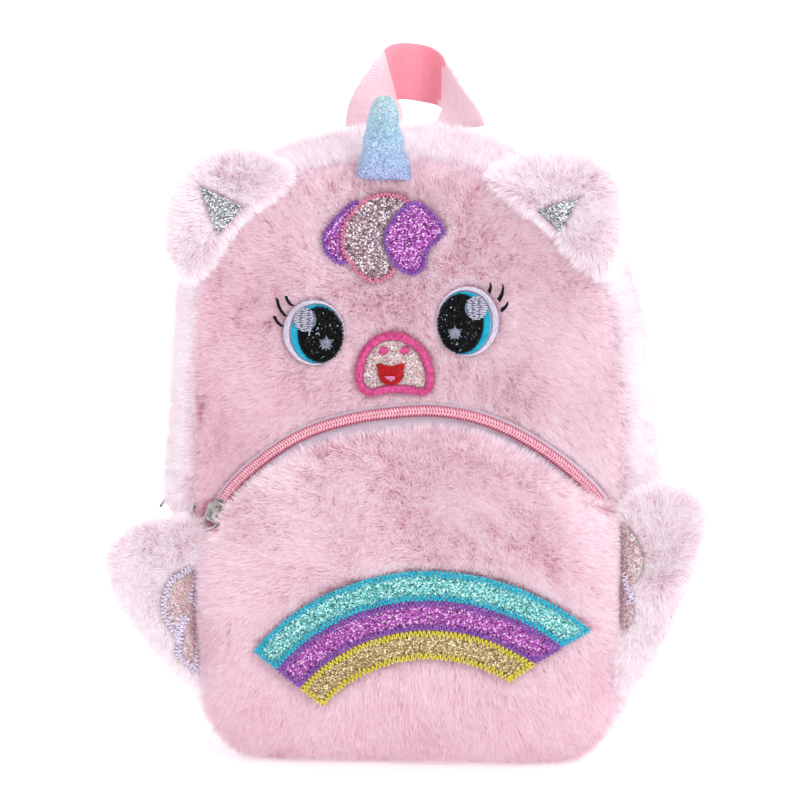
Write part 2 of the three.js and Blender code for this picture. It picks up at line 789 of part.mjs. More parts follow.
function wings() {
  const left = new Pillow('wing_left', [
    [-1.000, 0.411], [-1.067, 0.403], [-1.156, 0.401], [-1.244, 0.395], [-1.344, 0.380],
    [-1.406, 0.353], [-1.417, 0.326], [-1.378, 0.287], [-1.306, 0.240], [-1.222, 0.198],
    [-1.122, 0.155], [-1.022, 0.126], [-0.978, 0.140], [-1.000, 0.233], [-1.000, 0.329],
  ], [-1.156, 0.287], 30, colours.fur);
  const right = new Pillow('wing_right', [
    [1.011, 0.434], [1.089, 0.457], [1.189, 0.472], [1.289, 0.467], [1.372, 0.452], [1.400, 0.422],
    [1.372, 0.380], [1.339, 0.337], [1.298, 0.291], [1.250, 0.240], [1.189, 0.190], [1.117, 0.140],
    [1.022, 0.140], [1.000, 0.233], [1.000, 0.349],
  ], [1.156, 0.326], 30, colours.fur);
  const leftPatch = loop([
    [-1.007, 0.338], [-1.081, 0.329], [-1.130, 0.314], [-1.164, 0.279], [-1.151, 0.249],
    [-1.118, 0.229], [-1.087, 0.219], [-1.106, 0.195], [-1.087, 0.178], [-1.038, 0.171],
    [-1.027, 0.153], [-1.007, 0.159], [-1.007, 0.213], [-1.007, 0.279],
  ], 28);
  const rightPatch = loop([
    [1.018, 0.419], [1.080, 0.401], [1.123, 0.359], [1.101, 0.329], [1.051, 0.310], [1.083, 0.283],
    [1.076, 0.261], [1.033, 0.238], [1.016, 0.256], [1.016, 0.310], [1.016, 0.368],
  ], 28);
  return [
    left.mesh(4, true),
    right.mesh(4, true),
    patch('wing_patch_left', leftPatch, spot([-1.056, 0.256]), 2, (x, z) => left.frontY(x, z),
      trimLift + lockHeight, patchThickness, colours.wingPatch),
    patch('wing_patch_right', rightPatch, spot([1.047, 0.337]), 2, (x, z) => right.frontY(x, z),
      trimLift + lockHeight, patchThickness, colours.wingPatch),
  ];
}

// Horn: flat where it is sewn to the seam, round from there to its blunt tip

const hornHeight = 35.5;
const hornBase = 24.5;

function horn() {
  const foot = vec(-0.107 * bodyWidth / 2, -bodyDepth / 2 - 6.4, bodyHeight - 5);
  const rows = [
    { up: 0.00, width: 1.00, depth: 0.30 },
    { up: 0.10, width: 0.95, depth: 0.42 },
    { up: 0.24, width: 0.85, depth: 0.62 },
    { up: 0.42, width: 0.73, depth: 0.66 },
    { up: 0.62, width: 0.60, depth: 0.58 },
    { up: 0.80, width: 0.50, depth: 0.49 },
    { up: 0.91, width: 0.43, depth: 0.42 },
    { up: 0.97, width: 0.34, depth: 0.33 },
    { up: 1.00, width: 0.16, depth: 0.16 },
  ];
  const sections = rows.map((row) => Array.from({ length: 18 }, (_, k) => {
    const a = 2 * Math.PI * k / 18;
    return vec(
      foot.x + Math.cos(a) * row.width * hornBase / 2,
      foot.y + Math.sin(a) * row.depth * hornBase / 2,
      foot.z + row.up * hornHeight);
  }));
  return solid('horn', loft(sections), colours.horn);
}

// Face: forelock, eyes and muzzle, sewn to the pile

function forelock() {
  const surface = (x, z) => faceY(x, z) - gap;
  const lobe = (name, points, centre, lift, colour) => patch(
    name, loop(points, 24), spot(centre), 2, surface, lift, patchThickness, colour);
  return [
    lobe('forelock_left', [
      [-0.231, 0.948], [-0.322, 0.924], [-0.393, 0.888], [-0.367, 0.857], [-0.289, 0.843],
      [-0.233, 0.876], [-0.211, 0.915],
    ], [-0.294, 0.891], trimLift, colours.violet),
    lobe('forelock_middle', [
      [-0.136, 0.958], [-0.233, 0.938], [-0.304, 0.895], [-0.278, 0.853], [-0.150, 0.814],
      [-0.078, 0.824], [-0.013, 0.860], [0.024, 0.907], [0.008, 0.950],
    ], [-0.139, 0.888], trimLift + patchThickness + gap, colours.dusty),
    lobe('forelock_right', [
      [0.044, 0.948], [-0.044, 0.928], [-0.102, 0.891], [-0.067, 0.851], [0.017, 0.828],
      [0.089, 0.837], [0.104, 0.867], [0.188, 0.898], [0.133, 0.926],
    ], [0.040, 0.890], trimLift + 2 * (patchThickness + gap), colours.violet),
  ];
}

const eyeWidth = 25.6;
const eyeRows = [
  { side: 'left', at: [-0.433, 0.733], tall: 1.04, turn: 1 },
  { side: 'right', at: [0.294, 0.753], tall: 1.11, turn: -1 },
];

/** Eye in layers of cloth: white, then iris and pupil side by side, then glint and star. */
function eye(row) {
  const surface = (x, z) => faceY(x, z) - gap;
  const inkThickness = 0.6;
  const topThickness = 0.5;
  const first = trimLift;
  const second = first + patchThickness + gap;
  const third = second + inkThickness + gap;
  const white = { centre: spot(row.at), wide: eyeWidth / 2, high: eyeWidth / 2 * row.tall };
  const shifted = (across, up) => white.centre.clone().add(
    new THREE.Vector2(row.turn * across * white.wide, up * white.high));
  const pupil = { centre: shifted(0.25, -0.07), wide: white.wide * 0.73, high: white.high * 0.86 };
  const iris = { centre: shifted(0.13, -0.05), wide: white.wide * 0.88, high: white.high * 0.93 };
  const disc = (part, shape, count, rings, lift, thickness, colour) => patch(
    `${part}_${row.side}`, ellipse(shape.centre.x, shape.centre.y, shape.wide, shape.high, count),
    shape.centre, rings, surface, lift, thickness, colour);
  const arc = (shape, inset) => (u) => {
    const a = Math.PI / 2 + row.turn * mix(0.02, 0.86, u) * Math.PI;
    const reach = new THREE.Vector2((shape.wide - inset) * Math.cos(a), (shape.high - inset) * Math.sin(a));
    return shape.centre.clone().add(reach);
  };
  const glint = { centre: shifted(-0.27, 0.4), wide: eyeWidth * 0.19, high: eyeWidth * 0.19 };
  const starMiddle = shifted(0.43, -0.36);
  const starPoints = Array.from({ length: 10 }, (_, k) => {
    const a = Math.PI / 2 + Math.PI * k / 5;
    const r = eyeWidth * (k % 2 === 0 ? 0.12 : 0.058);
    return vec(starMiddle.x + r * Math.cos(a), 0, starMiddle.y + r * Math.sin(a));
  });
  return [
    disc('eye_white', white, 24, 1, first, patchThickness, colours.white),
    band(`eye_iris_${row.side}`, arc(pupil, -gap - 0.1), arc(iris, 0), 16, 1, surface, second,
      inkThickness, colours.teal),
    disc('eye_pupil', pupil, 20, 1, second, inkThickness, colours.black),
    disc('eye_glint', glint, 16, 1, third, topThickness, colours.white),
    patch(`eye_star_${row.side}`, starPoints, starMiddle, 1, surface, third, topThickness, colours.grey),
  ];
}

function muzzle() {
  const surface = (x, z) => faceY(x, z) - gap;
  const rimWidth = 3.2;
  const centre = spot([-0.048, 0.671]);
  const outer = loop([
    [-0.177, 0.628], [-0.229, 0.645], [-0.232, 0.678], [-0.189, 0.713], [-0.106, 0.733],
    [-0.049, 0.735], [0.017, 0.729], [0.094, 0.707], [0.132, 0.674], [0.133, 0.645],
    [0.106, 0.632], [0.028, 0.634], [-0.053, 0.635], [-0.117, 0.633],
  ], 26);
  const inward = (p, i, distance) => {
    const before = outer.at(i - 1);
    const after = outer[(i + 1) % outer.length];
    const square = new THREE.Vector2(after.z - before.z, before.x - after.x).normalize();
    const middle = new THREE.Vector2(centre.x - p.x, centre.y - p.z).normalize();
    const way = square.add(middle).normalize();
    return vec(p.x + way.x * distance, 0, p.z + way.y * distance);
  };
  const layer = (lift) => outer.map((p, i) => [0, rimWidth / 2, rimWidth].map((w) => {
    const at = inward(p, i, w);
    const round = w === rimWidth / 2 ? 0.5 : 0;
    return vec(at.x, surface(at.x, at.z) - lift - (lift > trimLift ? round : 0), at.z);
  }));
  const rim = solid('muzzle_rim', wall(layer(trimLift + 1.2), layer(trimLift), true), colours.rim);
  const fill = patch('muzzle_patch', outer.map((p, i) => inward(p, i, rimWidth + gap)), centre, 1,
    surface, trimLift, patchThickness, colours.muzzle);
  const lift = trimLift + patchThickness + gap;
  const mouth = patch('mouth', loop([
    [-0.134, 0.683], [-0.067, 0.679], [-0.001, 0.683], [-0.018, 0.667], [-0.063, 0.657],
    [-0.113, 0.667],
  ], 18), spot([-0.067, 0.671]), 1, surface, lift, 0.5, colours.red);
  const tongueAt = spot([-0.064, 0.666]);
  const tongue = patch('tongue', ellipse(tongueAt.x, tongueAt.y, 2.3, 1.4, 12), tongueAt, 1,
    surface, lift + 0.5 + gap, 0.4, colours.tongue);
  return [fill, rim, mouth, tongue];
}

// Carry handle: a flat loop of webbing whose legs face forward and whose middle turns over behind them

const webWidth = 25;
const webThickness = 1.8;
const handleSpread = 18.4;     // from the middle of the loop to the middle of a leg
const handleRise = 25;         // how far the loop's middle line rises
const handleLean = 15;         // how far its middle lies behind its legs
const handleBack = 15;         // how far its legs stand behind the main zip

function carryHandle() {
  const rows = [
    { across: -1.00, back: 0.07, up: 0.00, side: [1.00, 0.00, 0.10] },
    { across: -0.97, back: 0.00, up: 0.22, side: [0.98, 0.10, 0.12] },
    { across: -0.87, back: 0.03, up: 0.52, side: [0.80, 0.55, 0.16] },
    { across: -0.72, back: 0.27, up: 0.84, side: [0.42, 0.82, -0.35] },
    { across: -0.49, back: 0.73, up: 1.00, side: [0.26, 0.30, -0.90] },
    { across: 0.03, back: 1.00, up: 0.98, side: [0.12, 0.00, -1.00] },
    { across: 0.54, back: 0.73, up: 0.85, side: [0.02, 0.30, -0.95] },
    { across: 0.78, back: 0.33, up: 0.64, side: [-0.24, 0.75, -0.62] },
    { across: 0.91, back: 0.10, up: 0.36, side: [-0.62, 0.76, -0.20] },
    { across: 0.98, back: 0.00, up: 0.14, side: [-0.92, 0.30, 0.00] },
    { across: 1.01, back: 0.07, up: 0.00, side: [-1.00, 0.00, 0.06] },
  ];
  const foot = gussetPlace(0.5, zipY + handleBack, 0).z + 2 * gap + 0.1 * webWidth / 2 + 0.4;
  const knots = rows.map((row) => vec(
    row.across * handleSpread, zipY + handleBack + row.back * handleLean, foot + row.up * handleRise));
  const curve = new THREE.CatmullRomCurve3(knots, false, 'centripetal');
  const sides = new THREE.CatmullRomCurve3(rows.map((row) => vec(...row.side)), false, 'catmullrom', 0.5);
  const steps = 26;
  const stations = Array.from({ length: steps + 1 }, (_, k) => ({
    p: curve.getPoint(k / steps), side: sides.getPoint(k / steps), width: webWidth, thickness: webThickness,
  }));
  return strip('carry_handle', stations, colours.webbing);
}

// Shoulder straps on the back: a pad from the top seam, an adjuster, and webbing down to the base

const strapWidth = 46;
const strapThickness = 8;
const strapStandOff = 35;      // how far the pad's middle stands off the back
const lowerWebWidth = 20;
const frameLength = 17;
const frameThickness = 3;

/** Outer surface of the back, as a y value. */
function backY(x, z) {
  const q = Math.min(1, seam.share(x, z));
  return bodyDepth / 2 + gap / 2 + backCrown * (1 - q ** 3) ** 0.75;
}

/** Adjuster with two slots, along +x from its upper edge. */
function adjusterShape() {
  const slotLength = 3.6;
  const width = lowerWebWidth + 8;
  const plate = new THREE.BoxGeometry(frameLength, width, frameThickness).translate(frameLength / 2, 0, 0);
  const slot = (share) => blockOf(new THREE.BoxGeometry(slotLength, width - 5.2, 2 * frameThickness)
    .translate(share * frameLength, 0, 0));
  return trianglesOf(blockOf(plate).subtract(slot(0.3)).subtract(slot(0.68)));
}

function strap(sideName, sign) {
  const place = (across, up, out) => {
    const at = spot([sign * across, up]);
    return vec(at.x, backY(at.x, at.y) + out, at.y);
  };
  const rows = [
    { across: 0.300, up: 0.934, out: 0.040 },
    { across: 0.305, up: 0.905, out: 0.170 },
    { across: 0.320, up: 0.865, out: 0.460 },
    { across: 0.370, up: 0.775, out: 0.830 },
    { across: 0.455, up: 0.640, out: 1.000 },
    { across: 0.555, up: 0.504, out: 0.940 },
    { across: 0.633, up: 0.388, out: 0.770 },
    { across: 0.678, up: 0.310, out: 0.600 },
  ];
  const padPath = new THREE.CatmullRomCurve3(
    rows.map((row) => place(row.across, row.up, row.out * strapStandOff)), false, 'centripetal');
  const padSteps = 16;
  const pad = Array.from({ length: padSteps + 1 }, (_, k) => {
    const u = k / padSteps;
    const taper = Math.min(1, 0.62 + 2.2 * u) * Math.min(1, 0.6 + 3.5 * (1 - u));
    const end = Math.min(1, 0.4 + 5 * u) * Math.min(1, 0.45 + 7 * (1 - u));
    return {
      p: padPath.getPoint(u), side: vec(1, 0, 0), width: strapWidth * taper, thickness: strapThickness * end,
    };
  });
  const foot = padPath.getPoint(1);
  const run = foot.clone().sub(padPath.getPoint(0.98)).normalize();
  const across = vec(1, 0, 0).addScaledVector(run, -run.x).normalize();
  const start = foot.clone().addScaledVector(run, gap);
  const adjuster = placed(adjusterShape(), start, run, run.clone().cross(across));
  const webStart = start.clone().addScaledVector(run, frameLength + gap);
  const webPath = new THREE.CatmullRomCurve3([
    webStart, webStart.clone().addScaledVector(run, 12), place(0.767, 0.124, 6), place(0.789, 0.070, 1.2),
  ], false, 'centripetal');
  const webSteps = 9;
  const web = Array.from({ length: webSteps + 1 }, (_, k) => ({
    p: webPath.getPoint(k / webSteps), side: vec(1, 0, 0), width: lowerWebWidth, thickness: webThickness,
  }));
  return [
    strip(`strap_${sideName}`, pad, colours.fur),
    solid(`adjuster_${sideName}`, adjuster, colours.webbing),
    strip(`strap_webbing_${sideName}`, web, colours.webbing),
  ];
}

const backpack = new THREE.Group();
backpack.name = 'plush_backpack';
backpack.add(
  frontPanel(),
  backPanel(),
  ...gussets(),
  ...mainZip(),
  pocketPanel(),
  ...pocketZip(),
  ...rainbow(),
  ...ears(),
  ...wings(),
  horn(),
  ...forelock(),
  ...eyeRows.flatMap(eye),
  ...muzzle(),
  carryHandle(),
  ...strap('left', -1),
  ...strap('right', 1),
);

export default backpack;
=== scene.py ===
"""Plush unicorn backpack for a small child: pile, glitter cloth, stitching, zips, webbing and light."""

import logging
import math
from dataclasses import dataclass
from enum import Enum
from typing import Callable, Iterable, Sequence

import bmesh
import bpy
import numpy as np
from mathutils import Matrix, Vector
from mathutils.bvhtree import BVHTree
from mathutils.kdtree import KDTree

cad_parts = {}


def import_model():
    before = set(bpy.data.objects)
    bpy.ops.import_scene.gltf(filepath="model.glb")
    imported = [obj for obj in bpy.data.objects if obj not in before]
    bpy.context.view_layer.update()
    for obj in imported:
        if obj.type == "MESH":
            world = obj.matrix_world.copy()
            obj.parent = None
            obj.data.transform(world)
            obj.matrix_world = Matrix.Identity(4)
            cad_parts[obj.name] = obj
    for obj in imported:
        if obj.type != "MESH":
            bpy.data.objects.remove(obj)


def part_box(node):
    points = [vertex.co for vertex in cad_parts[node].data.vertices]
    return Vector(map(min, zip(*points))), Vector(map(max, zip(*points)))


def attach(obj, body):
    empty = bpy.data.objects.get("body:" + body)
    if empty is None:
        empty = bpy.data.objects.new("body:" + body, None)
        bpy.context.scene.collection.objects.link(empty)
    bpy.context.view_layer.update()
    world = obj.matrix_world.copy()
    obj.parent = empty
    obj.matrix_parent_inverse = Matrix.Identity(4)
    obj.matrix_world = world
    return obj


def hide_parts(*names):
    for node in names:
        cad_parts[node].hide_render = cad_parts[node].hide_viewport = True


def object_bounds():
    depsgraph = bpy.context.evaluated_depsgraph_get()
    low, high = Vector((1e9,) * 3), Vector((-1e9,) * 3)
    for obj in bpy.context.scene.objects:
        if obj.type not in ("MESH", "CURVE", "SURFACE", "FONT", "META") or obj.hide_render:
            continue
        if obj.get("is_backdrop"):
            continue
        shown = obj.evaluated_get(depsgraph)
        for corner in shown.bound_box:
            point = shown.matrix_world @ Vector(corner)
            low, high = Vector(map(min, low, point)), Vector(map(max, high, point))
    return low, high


logging.basicConfig(level=logging.INFO, format="%(message)s")
LOG = logging.getLogger("backpack")

MM = 0.001
MERGE = 1e-6
HEAD_MIDDLE = Vector((0.0, 0.0, 129 * MM))
FLOOR_CLEARANCE = 0.4 * MM
NEEDLE_LIFT = 0.1 * MM
ZIGZAG_ERROR = 0.14
SATIN_SEED = 5


# Small maths


def unit(rows: np.ndarray) -> np.ndarray:
    """Rows scaled to a length of one."""
    return rows / np.maximum(np.linalg.norm(rows, axis=-1, keepdims=True), 1e-12)


def flatten(rows: np.ndarray, normals: np.ndarray) -> np.ndarray:
    """The part of each row that runs along the surface."""
    return rows - normals * (rows * normals).sum(1, keepdims=True)


def swirl(points: np.ndarray, scale: float, seed: int) -> np.ndarray:
    """Smooth random vectors over space.

    Args:
        points: places, a row each.
        scale: usual distance over which the vectors turn round.
        seed: which pattern.

    Returns:
        A vector for each place, about one long.
    """
    rng = np.random.default_rng(seed)
    waves = unit(rng.normal(size=(8, 3))) * (2 * math.pi / scale) * rng.uniform(0.6, 1.5, (8, 1))
    turns = rng.uniform(0, 2 * math.pi, (8, 3))
    phase = points @ waves.T
    return np.stack([np.sin(phase + turns[:, k]).mean(1) for k in range(3)], axis=1) * 2.4


def colour(code: str) -> tuple[float, float, float, float]:
    """Linear colour of a hex code as a screen shows it."""
    parts = [int(code[k:k + 2], 16) / 255 for k in (1, 3, 5)]
    linear = [p / 12.92 if p <= 0.04045 else ((p + 0.055) / 1.055) ** 2.4 for p in parts]
    return (*linear, 1.0)


# Shader expressions


class Value:
    """Output of a shader node that can stand in a sum."""

    def __init__(self, graph: "Graph", socket: bpy.types.NodeSocket) -> None:
        self.graph = graph
        self.socket = socket

    def __add__(self, other: "Value | float") -> "Value":
        """Sum."""
        return self.graph.sum("ADD", self, other)

    __radd__ = __add__

    def __mul__(self, other: "Value | float") -> "Value":
        """Product."""
        return self.graph.sum("MULTIPLY", self, other)

    __rmul__ = __mul__

    def __sub__(self, other: "Value | float") -> "Value":
        """Difference."""
        return self.graph.sum("SUBTRACT", self, other)

    def __truediv__(self, other: "Value | float") -> "Value":
        """Quotient."""
        return self.graph.sum("DIVIDE", self, other)

    def __gt__(self, other: "Value | float") -> "Value":
        """One where this is greater."""
        return self.graph.sum("GREATER_THAN", self, other)

    def sine(self) -> "Value":
        """Sine of this value."""
        return self.graph.sum("SINE", self, 0.0)


class Graph:
    """Node tree of one material, ending in a Principled shader."""

    def __init__(self, name: str) -> None:
        self.material = bpy.data.materials.new(name)
        self.material.use_nodes = True
        self.tree = self.material.node_tree
        self.tree.nodes.clear()

    def node(self, kind: str, settings: dict | None = None, inputs: dict | None = None,
             out: str | int = 0) -> Value:
        """Adds a node.

        Args:
            kind: the node's type.
            settings: its own options, set first; "stops" are a ramp's.
            inputs: a value or a link for each socket, by name, identifier or number.
            out: which output to give back.

        Returns:
            That output.
        """
        node = self.tree.nodes.new(kind)
        for key, setting in (settings or {}).items():
            if key == "stops":
                self._stops(node.color_ramp, setting)
            else:
                setattr(node, key, setting)
        for key, value in (inputs or {}).items():
            socket = self._socket(node.inputs, key)
            if isinstance(value, Value):
                self.tree.links.new(value.socket, socket)
            else:
                socket.default_value = value
        return Value(self, self._socket(node.outputs, out) if node.outputs else None)

    @staticmethod
    def _stops(ramp: bpy.types.ColorRamp, stops: Sequence[tuple[float, tuple]]) -> None:
        """Gives a ramp its stops."""
        while len(ramp.elements) < len(stops):
            ramp.elements.new(1.0)
        for element, (place, shade) in zip(ramp.elements, stops):
            element.position = place
            element.color = shade

    @staticmethod
    def _socket(sockets: bpy.types.bpy_prop_collection, key: str | int) -> bpy.types.NodeSocket:
        """Finds a socket by number, identifier or name."""
        if isinstance(key, int):
            return sockets[key]
        return next((s for s in sockets if s.identifier == key), None) or sockets[key]

    def sum(self, operation: str, first: Value | float, second: Value | float) -> Value:
        """One sum on values."""
        return self.node("ShaderNodeMath", {"operation": operation}, {0: first, 1: second})

    def place(self) -> Value:
        """Object coordinates."""
        return self.node("ShaderNodeTexCoord", out="Object")

    def chart(self, name: str) -> Value:
        """Coordinates of a named chart of the surface."""
        return self.node("ShaderNodeUVMap", {"uv_map": name})

    def parts(self, vector: Value) -> tuple[Value, Value, Value]:
        """The three numbers of a vector."""
        first = self.node("ShaderNodeSeparateXYZ", inputs={0: vector})
        sockets = first.socket.node.outputs
        return first, Value(self, sockets[1]), Value(self, sockets[2])

    def noise(self, vector: Value, size: float, detail: float = 2.0) -> Value:
        """Soft noise with spots of about one size."""
        return self.node("ShaderNodeTexNoise", inputs={
            "Vector": vector, "Scale": 1 / size, "Detail": detail})

    def ramp(self, share: Value, *stops: tuple[float, str]) -> Value:
        """Colours along a share."""
        return self.node("ShaderNodeValToRGB", {
            "stops": [(place, colour(code)) for place, code in stops]}, {"Fac": share})

    def blend(self, share: Value | float, first: Value, second: Value) -> Value:
        """Mix of two colours."""
        return self.node("ShaderNodeMix", {"data_type": "RGBA"}, {
            "Factor_Float": share, "A_Color": first, "B_Color": second}, "Result_Color")

    def bump(self, height: Value, depth: float) -> Value:
        """Bumps from a height."""
        return self.node("ShaderNodeBump", inputs={"Height": height, "Distance": depth, "Strength": 1.0})

    def finish(self, **inputs: Value | float | tuple) -> bpy.types.Material:
        """Ends the tree in a Principled shader.

        Args:
            inputs: its sockets, with _ for each space in a name.

        Returns:
            The material.
        """
        named = {key.replace("_", " "): value for key, value in inputs.items()}
        shader = self.node("ShaderNodeBsdfPrincipled", inputs=named)
        self.node("ShaderNodeOutputMaterial", inputs={"Surface": shader})
        return self.material


# Finishes


@dataclass(frozen=True)
class Dye:
    """Plush deeper at the roots than at the tips; the deep roots are partly painted shade down in the pile.
    """

    name: str
    roots: tuple[str, str]
    middles: tuple[str, str]
    tips: tuple[str, str]

    def material(self) -> bpy.types.Material:
        """Pile whose chart says how pale a strand is and how far along it a point lies, glowing faintly with
        painted light.
        """
        graph = Graph(self.name)
        shade, along, _ = graph.parts(graph.chart("pile"))
        deep, pale = (graph.ramp(along, (0.05, self.roots[k]), (0.48, self.middles[k]), (1.0, self.tips[k]))
                      for k in (0, 1))
        dye_and_painted_shade = graph.blend(shade, deep, pale)
        # Emission is painted light: each strand glows faintly in its own colour, lifting the shade within the
        # pile.
        return graph.finish(
            Base_Color=dye_and_painted_shade, Roughness=0.62, Specular_IOR_Level=0.25, Sheen_Weight=0.35,
            Sheen_Roughness=0.45, Emission_Color=dye_and_painted_shade, Emission_Strength=0.10)

    def cloth(self) -> bpy.types.Material:
        """Knitted backing that the strands stand on, with their deepest colour."""
        graph = Graph(f"{self.name}_backing")
        place = graph.place()
        mottle = graph.noise(place, 6 * MM)
        knit = graph.noise(place, 0.7 * MM, 1.0)
        return graph.finish(
            Base_Color=graph.ramp(mottle, (0.3, self.roots[0]), (0.7, self.roots[1])),
            Roughness=0.9, Sheen_Weight=0.3, Normal=graph.bump(knit, 0.3 * MM))


@dataclass(frozen=True)
class Glitter:
    """Cloth covered with loose flakes, each at its own tilt."""

    name: str
    stops: tuple[tuple[float, str], ...]
    flake: float = 0.55 * MM
    shine: float = 0.55
    specular: float = 0.5

    def base(self, graph: Graph, share: Value) -> Value:
        """Colour of a flake, from its random share."""
        return graph.ramp(share, *self.stops)

    def material(self) -> bpy.types.Material:
        """Flakes as cells, with random colour, roughness and tilt."""
        graph = Graph(self.name)
        place = graph.place()
        cell = graph.node("ShaderNodeTexVoronoi", inputs={
            "Vector": place, "Scale": 1 / self.flake}, out="Color")
        first, second, third = graph.parts(cell)
        centred = graph.node("ShaderNodeVectorMath", {"operation": "SUBTRACT"}, {0: cell, 1: (0.5, 0.5, 0.5)})
        tilt = graph.node("ShaderNodeVectorMath", {"operation": "SCALE"}, {0: centred, "Scale": 0.95})
        facing = graph.node("ShaderNodeNewGeometry", out="Normal")
        leaning = graph.node("ShaderNodeVectorMath", {"operation": "ADD"}, {0: facing, 1: tilt})
        normal = graph.node("ShaderNodeVectorMath", {"operation": "NORMALIZE"}, {0: leaning})
        return graph.finish(
            Base_Color=self.base(graph, first), Metallic=self.shine * (second > 0.45),
            Roughness=0.22 + 0.35 * third, Specular_IOR_Level=self.specular, Normal=normal)


@dataclass(frozen=True)
class HornGlitter(Glitter):
    """Glitter that runs from lavender at the foot to mint at the tip."""

    foot: float = 0.0
    tip: float = 1.0

    def base(self, graph: Graph, share: Value) -> Value:
        """Flake colour tinted by height."""
        _, _, height = graph.parts(graph.place())
        up = (height - self.foot) / (self.tip - self.foot)
        body = graph.ramp(up, (0.0, "#9496CC"), (0.3, "#8EA8D2"), (0.62, "#90B8CE"), (1.0, "#A8C4C2"))
        sparks = graph.ramp(share, *self.stops)
        return graph.blend(0.62, sparks, body)


@dataclass(frozen=True)
class Thread:
    """Embroidery thread with a silky gloss."""

    name: str
    deep: str
    pale: str
    gloss: float = 0.42
    specular: float = 0.5

    def material(self) -> bpy.types.Material:
        """Thread whose colour shifts a little along the row."""
        graph = Graph(self.name)
        place = graph.place()
        shift = graph.noise(place, 1.1 * MM, 1.0)
        return graph.finish(
            Base_Color=graph.ramp(shift, (0.3, self.deep), (0.7, self.pale)), Roughness=self.gloss,
            Specular_IOR_Level=self.specular, Sheen_Weight=0.2 * self.specular,
            Normal=graph.bump(graph.noise(place, 0.25 * MM, 1.0), 0.05 * MM))


@dataclass(frozen=True)
class Woven:
    """Woven webbing or tape, with ribs across it and fine lines along it."""

    name: str
    deep: str
    pale: str
    rib: float = 1.0 * MM
    line: float = 0.8 * MM

    def material(self) -> bpy.types.Material:
        """Weave on a chart in metres, across and along."""
        graph = Graph(self.name)
        across, along, _ = graph.parts(graph.chart("weave"))
        ribs = (along * (2 * math.pi / self.rib) + across * (0.9 * math.pi / self.rib)).sine()
        lines = (across * (2 * math.pi / self.line)).sine()
        height = 0.5 + 0.3 * ribs + 0.2 * lines
        mottle = graph.noise(graph.place(), 3 * MM)
        # The colour follows the weave's height as well as a mottle: the deeper colour of its low parts is
        # painted shade.
        return graph.finish(
            Base_Color=graph.ramp(0.6 * height + 0.4 * mottle, (0.2, self.deep), (0.75, self.pale)),
            Roughness=0.6, Sheen_Weight=0.3, Normal=graph.bump(height, 0.12 * MM))


@dataclass(frozen=True)
class FineTape:
    """Fine woven zip tape, seen as a net of small dots."""

    name: str
    deep: str
    pale: str
    pitch: float = 0.75 * MM

    def material(self) -> bpy.types.Material:
        """Net of threads along the three axes of the object."""
        graph = Graph(self.name)
        x, y, z = graph.parts(graph.place())
        turn = 2 * math.pi / self.pitch
        net = ((x + z) * turn).sine() * ((z - x + y) * turn).sine()
        height = 0.5 + 0.5 * net
        # The colour follows the net's height: the deeper colour between its dots is painted shade.
        return graph.finish(
            Base_Color=graph.ramp(height, (0.15, self.deep), (0.6, self.pale)),
            Roughness=0.75, Sheen_Weight=0.25, Normal=graph.bump(height, 0.1 * MM))


@dataclass(frozen=True)
class Metal:
    """Plated die-cast metal with a little wear."""

    name: str
    deep: str
    pale: str
    rough: float

    def material(self) -> bpy.types.Material:
        """Metal with faint clouds and fine scratches."""
        graph = Graph(self.name)
        place = graph.place()
        clouds = graph.noise(place, 2.5 * MM, 4.0)
        scratch = graph.noise(place, 0.3 * MM, 3.0)
        return graph.finish(
            Base_Color=graph.ramp(clouds, (0.3, self.deep), (0.7, self.pale)), Metallic=1.0,
            Roughness=self.rough + 0.2 * scratch, Normal=graph.bump(scratch, 0.02 * MM))


@dataclass(frozen=True)
class Moulded:
    """Dyed moulded nylon."""

    name: str
    deep: str
    pale: str

    def material(self) -> bpy.types.Material:
        """Satin nylon with a faint grain."""
        graph = Graph(self.name)
        place = graph.place()
        return graph.finish(
            Base_Color=graph.ramp(graph.noise(place, 1.6 * MM), (0.3, self.deep), (0.7, self.pale)),
            Roughness=0.38, Coat_Weight=0.15,
            Normal=graph.bump(graph.noise(place, 0.4 * MM, 1.0), 0.03 * MM))


PINK_PLUSH = Dye("pink_plush", ("#DF9BB0", "#F0C5D3"), ("#ECC4D2", "#F7E3EC"), ("#F5DFE9", "#FDF7FB"))
PALE_PLUSH = Dye("pale_plush", ("#EFCEDB", "#F7DFE9"), ("#F7E7EF", "#FCF3F8"), ("#FBF3F8", "#FFFDFF"))

TEAL_GLITTER = Glitter(
    "teal_glitter", ((0.0, "#144B47"), (0.3, "#50A3A1"), (0.75, "#7ACACA"), (0.96, "#DCFFFF")))
VIOLET_GLITTER = Glitter(
    "violet_glitter", ((0.0, "#3C0A3E"), (0.3, "#8E3490"), (0.75, "#B052B4"), (0.96, "#F2C8F6")))
GOLD_GLITTER = Glitter(
    "gold_glitter", ((0.0, "#483815"), (0.3, "#977D4D"), (0.75, "#B69F71"), (0.96, "#FAEEC4")))
SILVER_GLITTER = Glitter(
    "silver_glitter", ((0.0, "#393A40"), (0.35, "#8B8E97"), (0.75, "#B1B2BC"), (0.92, "#FFFFFF")))
DUSTY_GLITTER = Glitter(
    "dusty_glitter", ((0.0, "#3F272E"), (0.35, "#8E727D"), (0.75, "#AF96A0"), (0.92, "#F5EBF1")))
PALE_GLITTER = Glitter(
    "pale_glitter",
    ((0.0, "#9A6A76"), (0.3, "#CB96A4"), (0.55, "#AFC2AC"), (0.78, "#D6A9B8"), (0.97, "#F0E8EA")), shine=0.12)
BLACK_GLITTER = Glitter(
    "black_glitter", ((0.0, "#020202"), (0.8, "#060507"), (0.95, "#23262E"), (0.985, "#B8D0E0")), shine=0.35,
    specular=0.12)

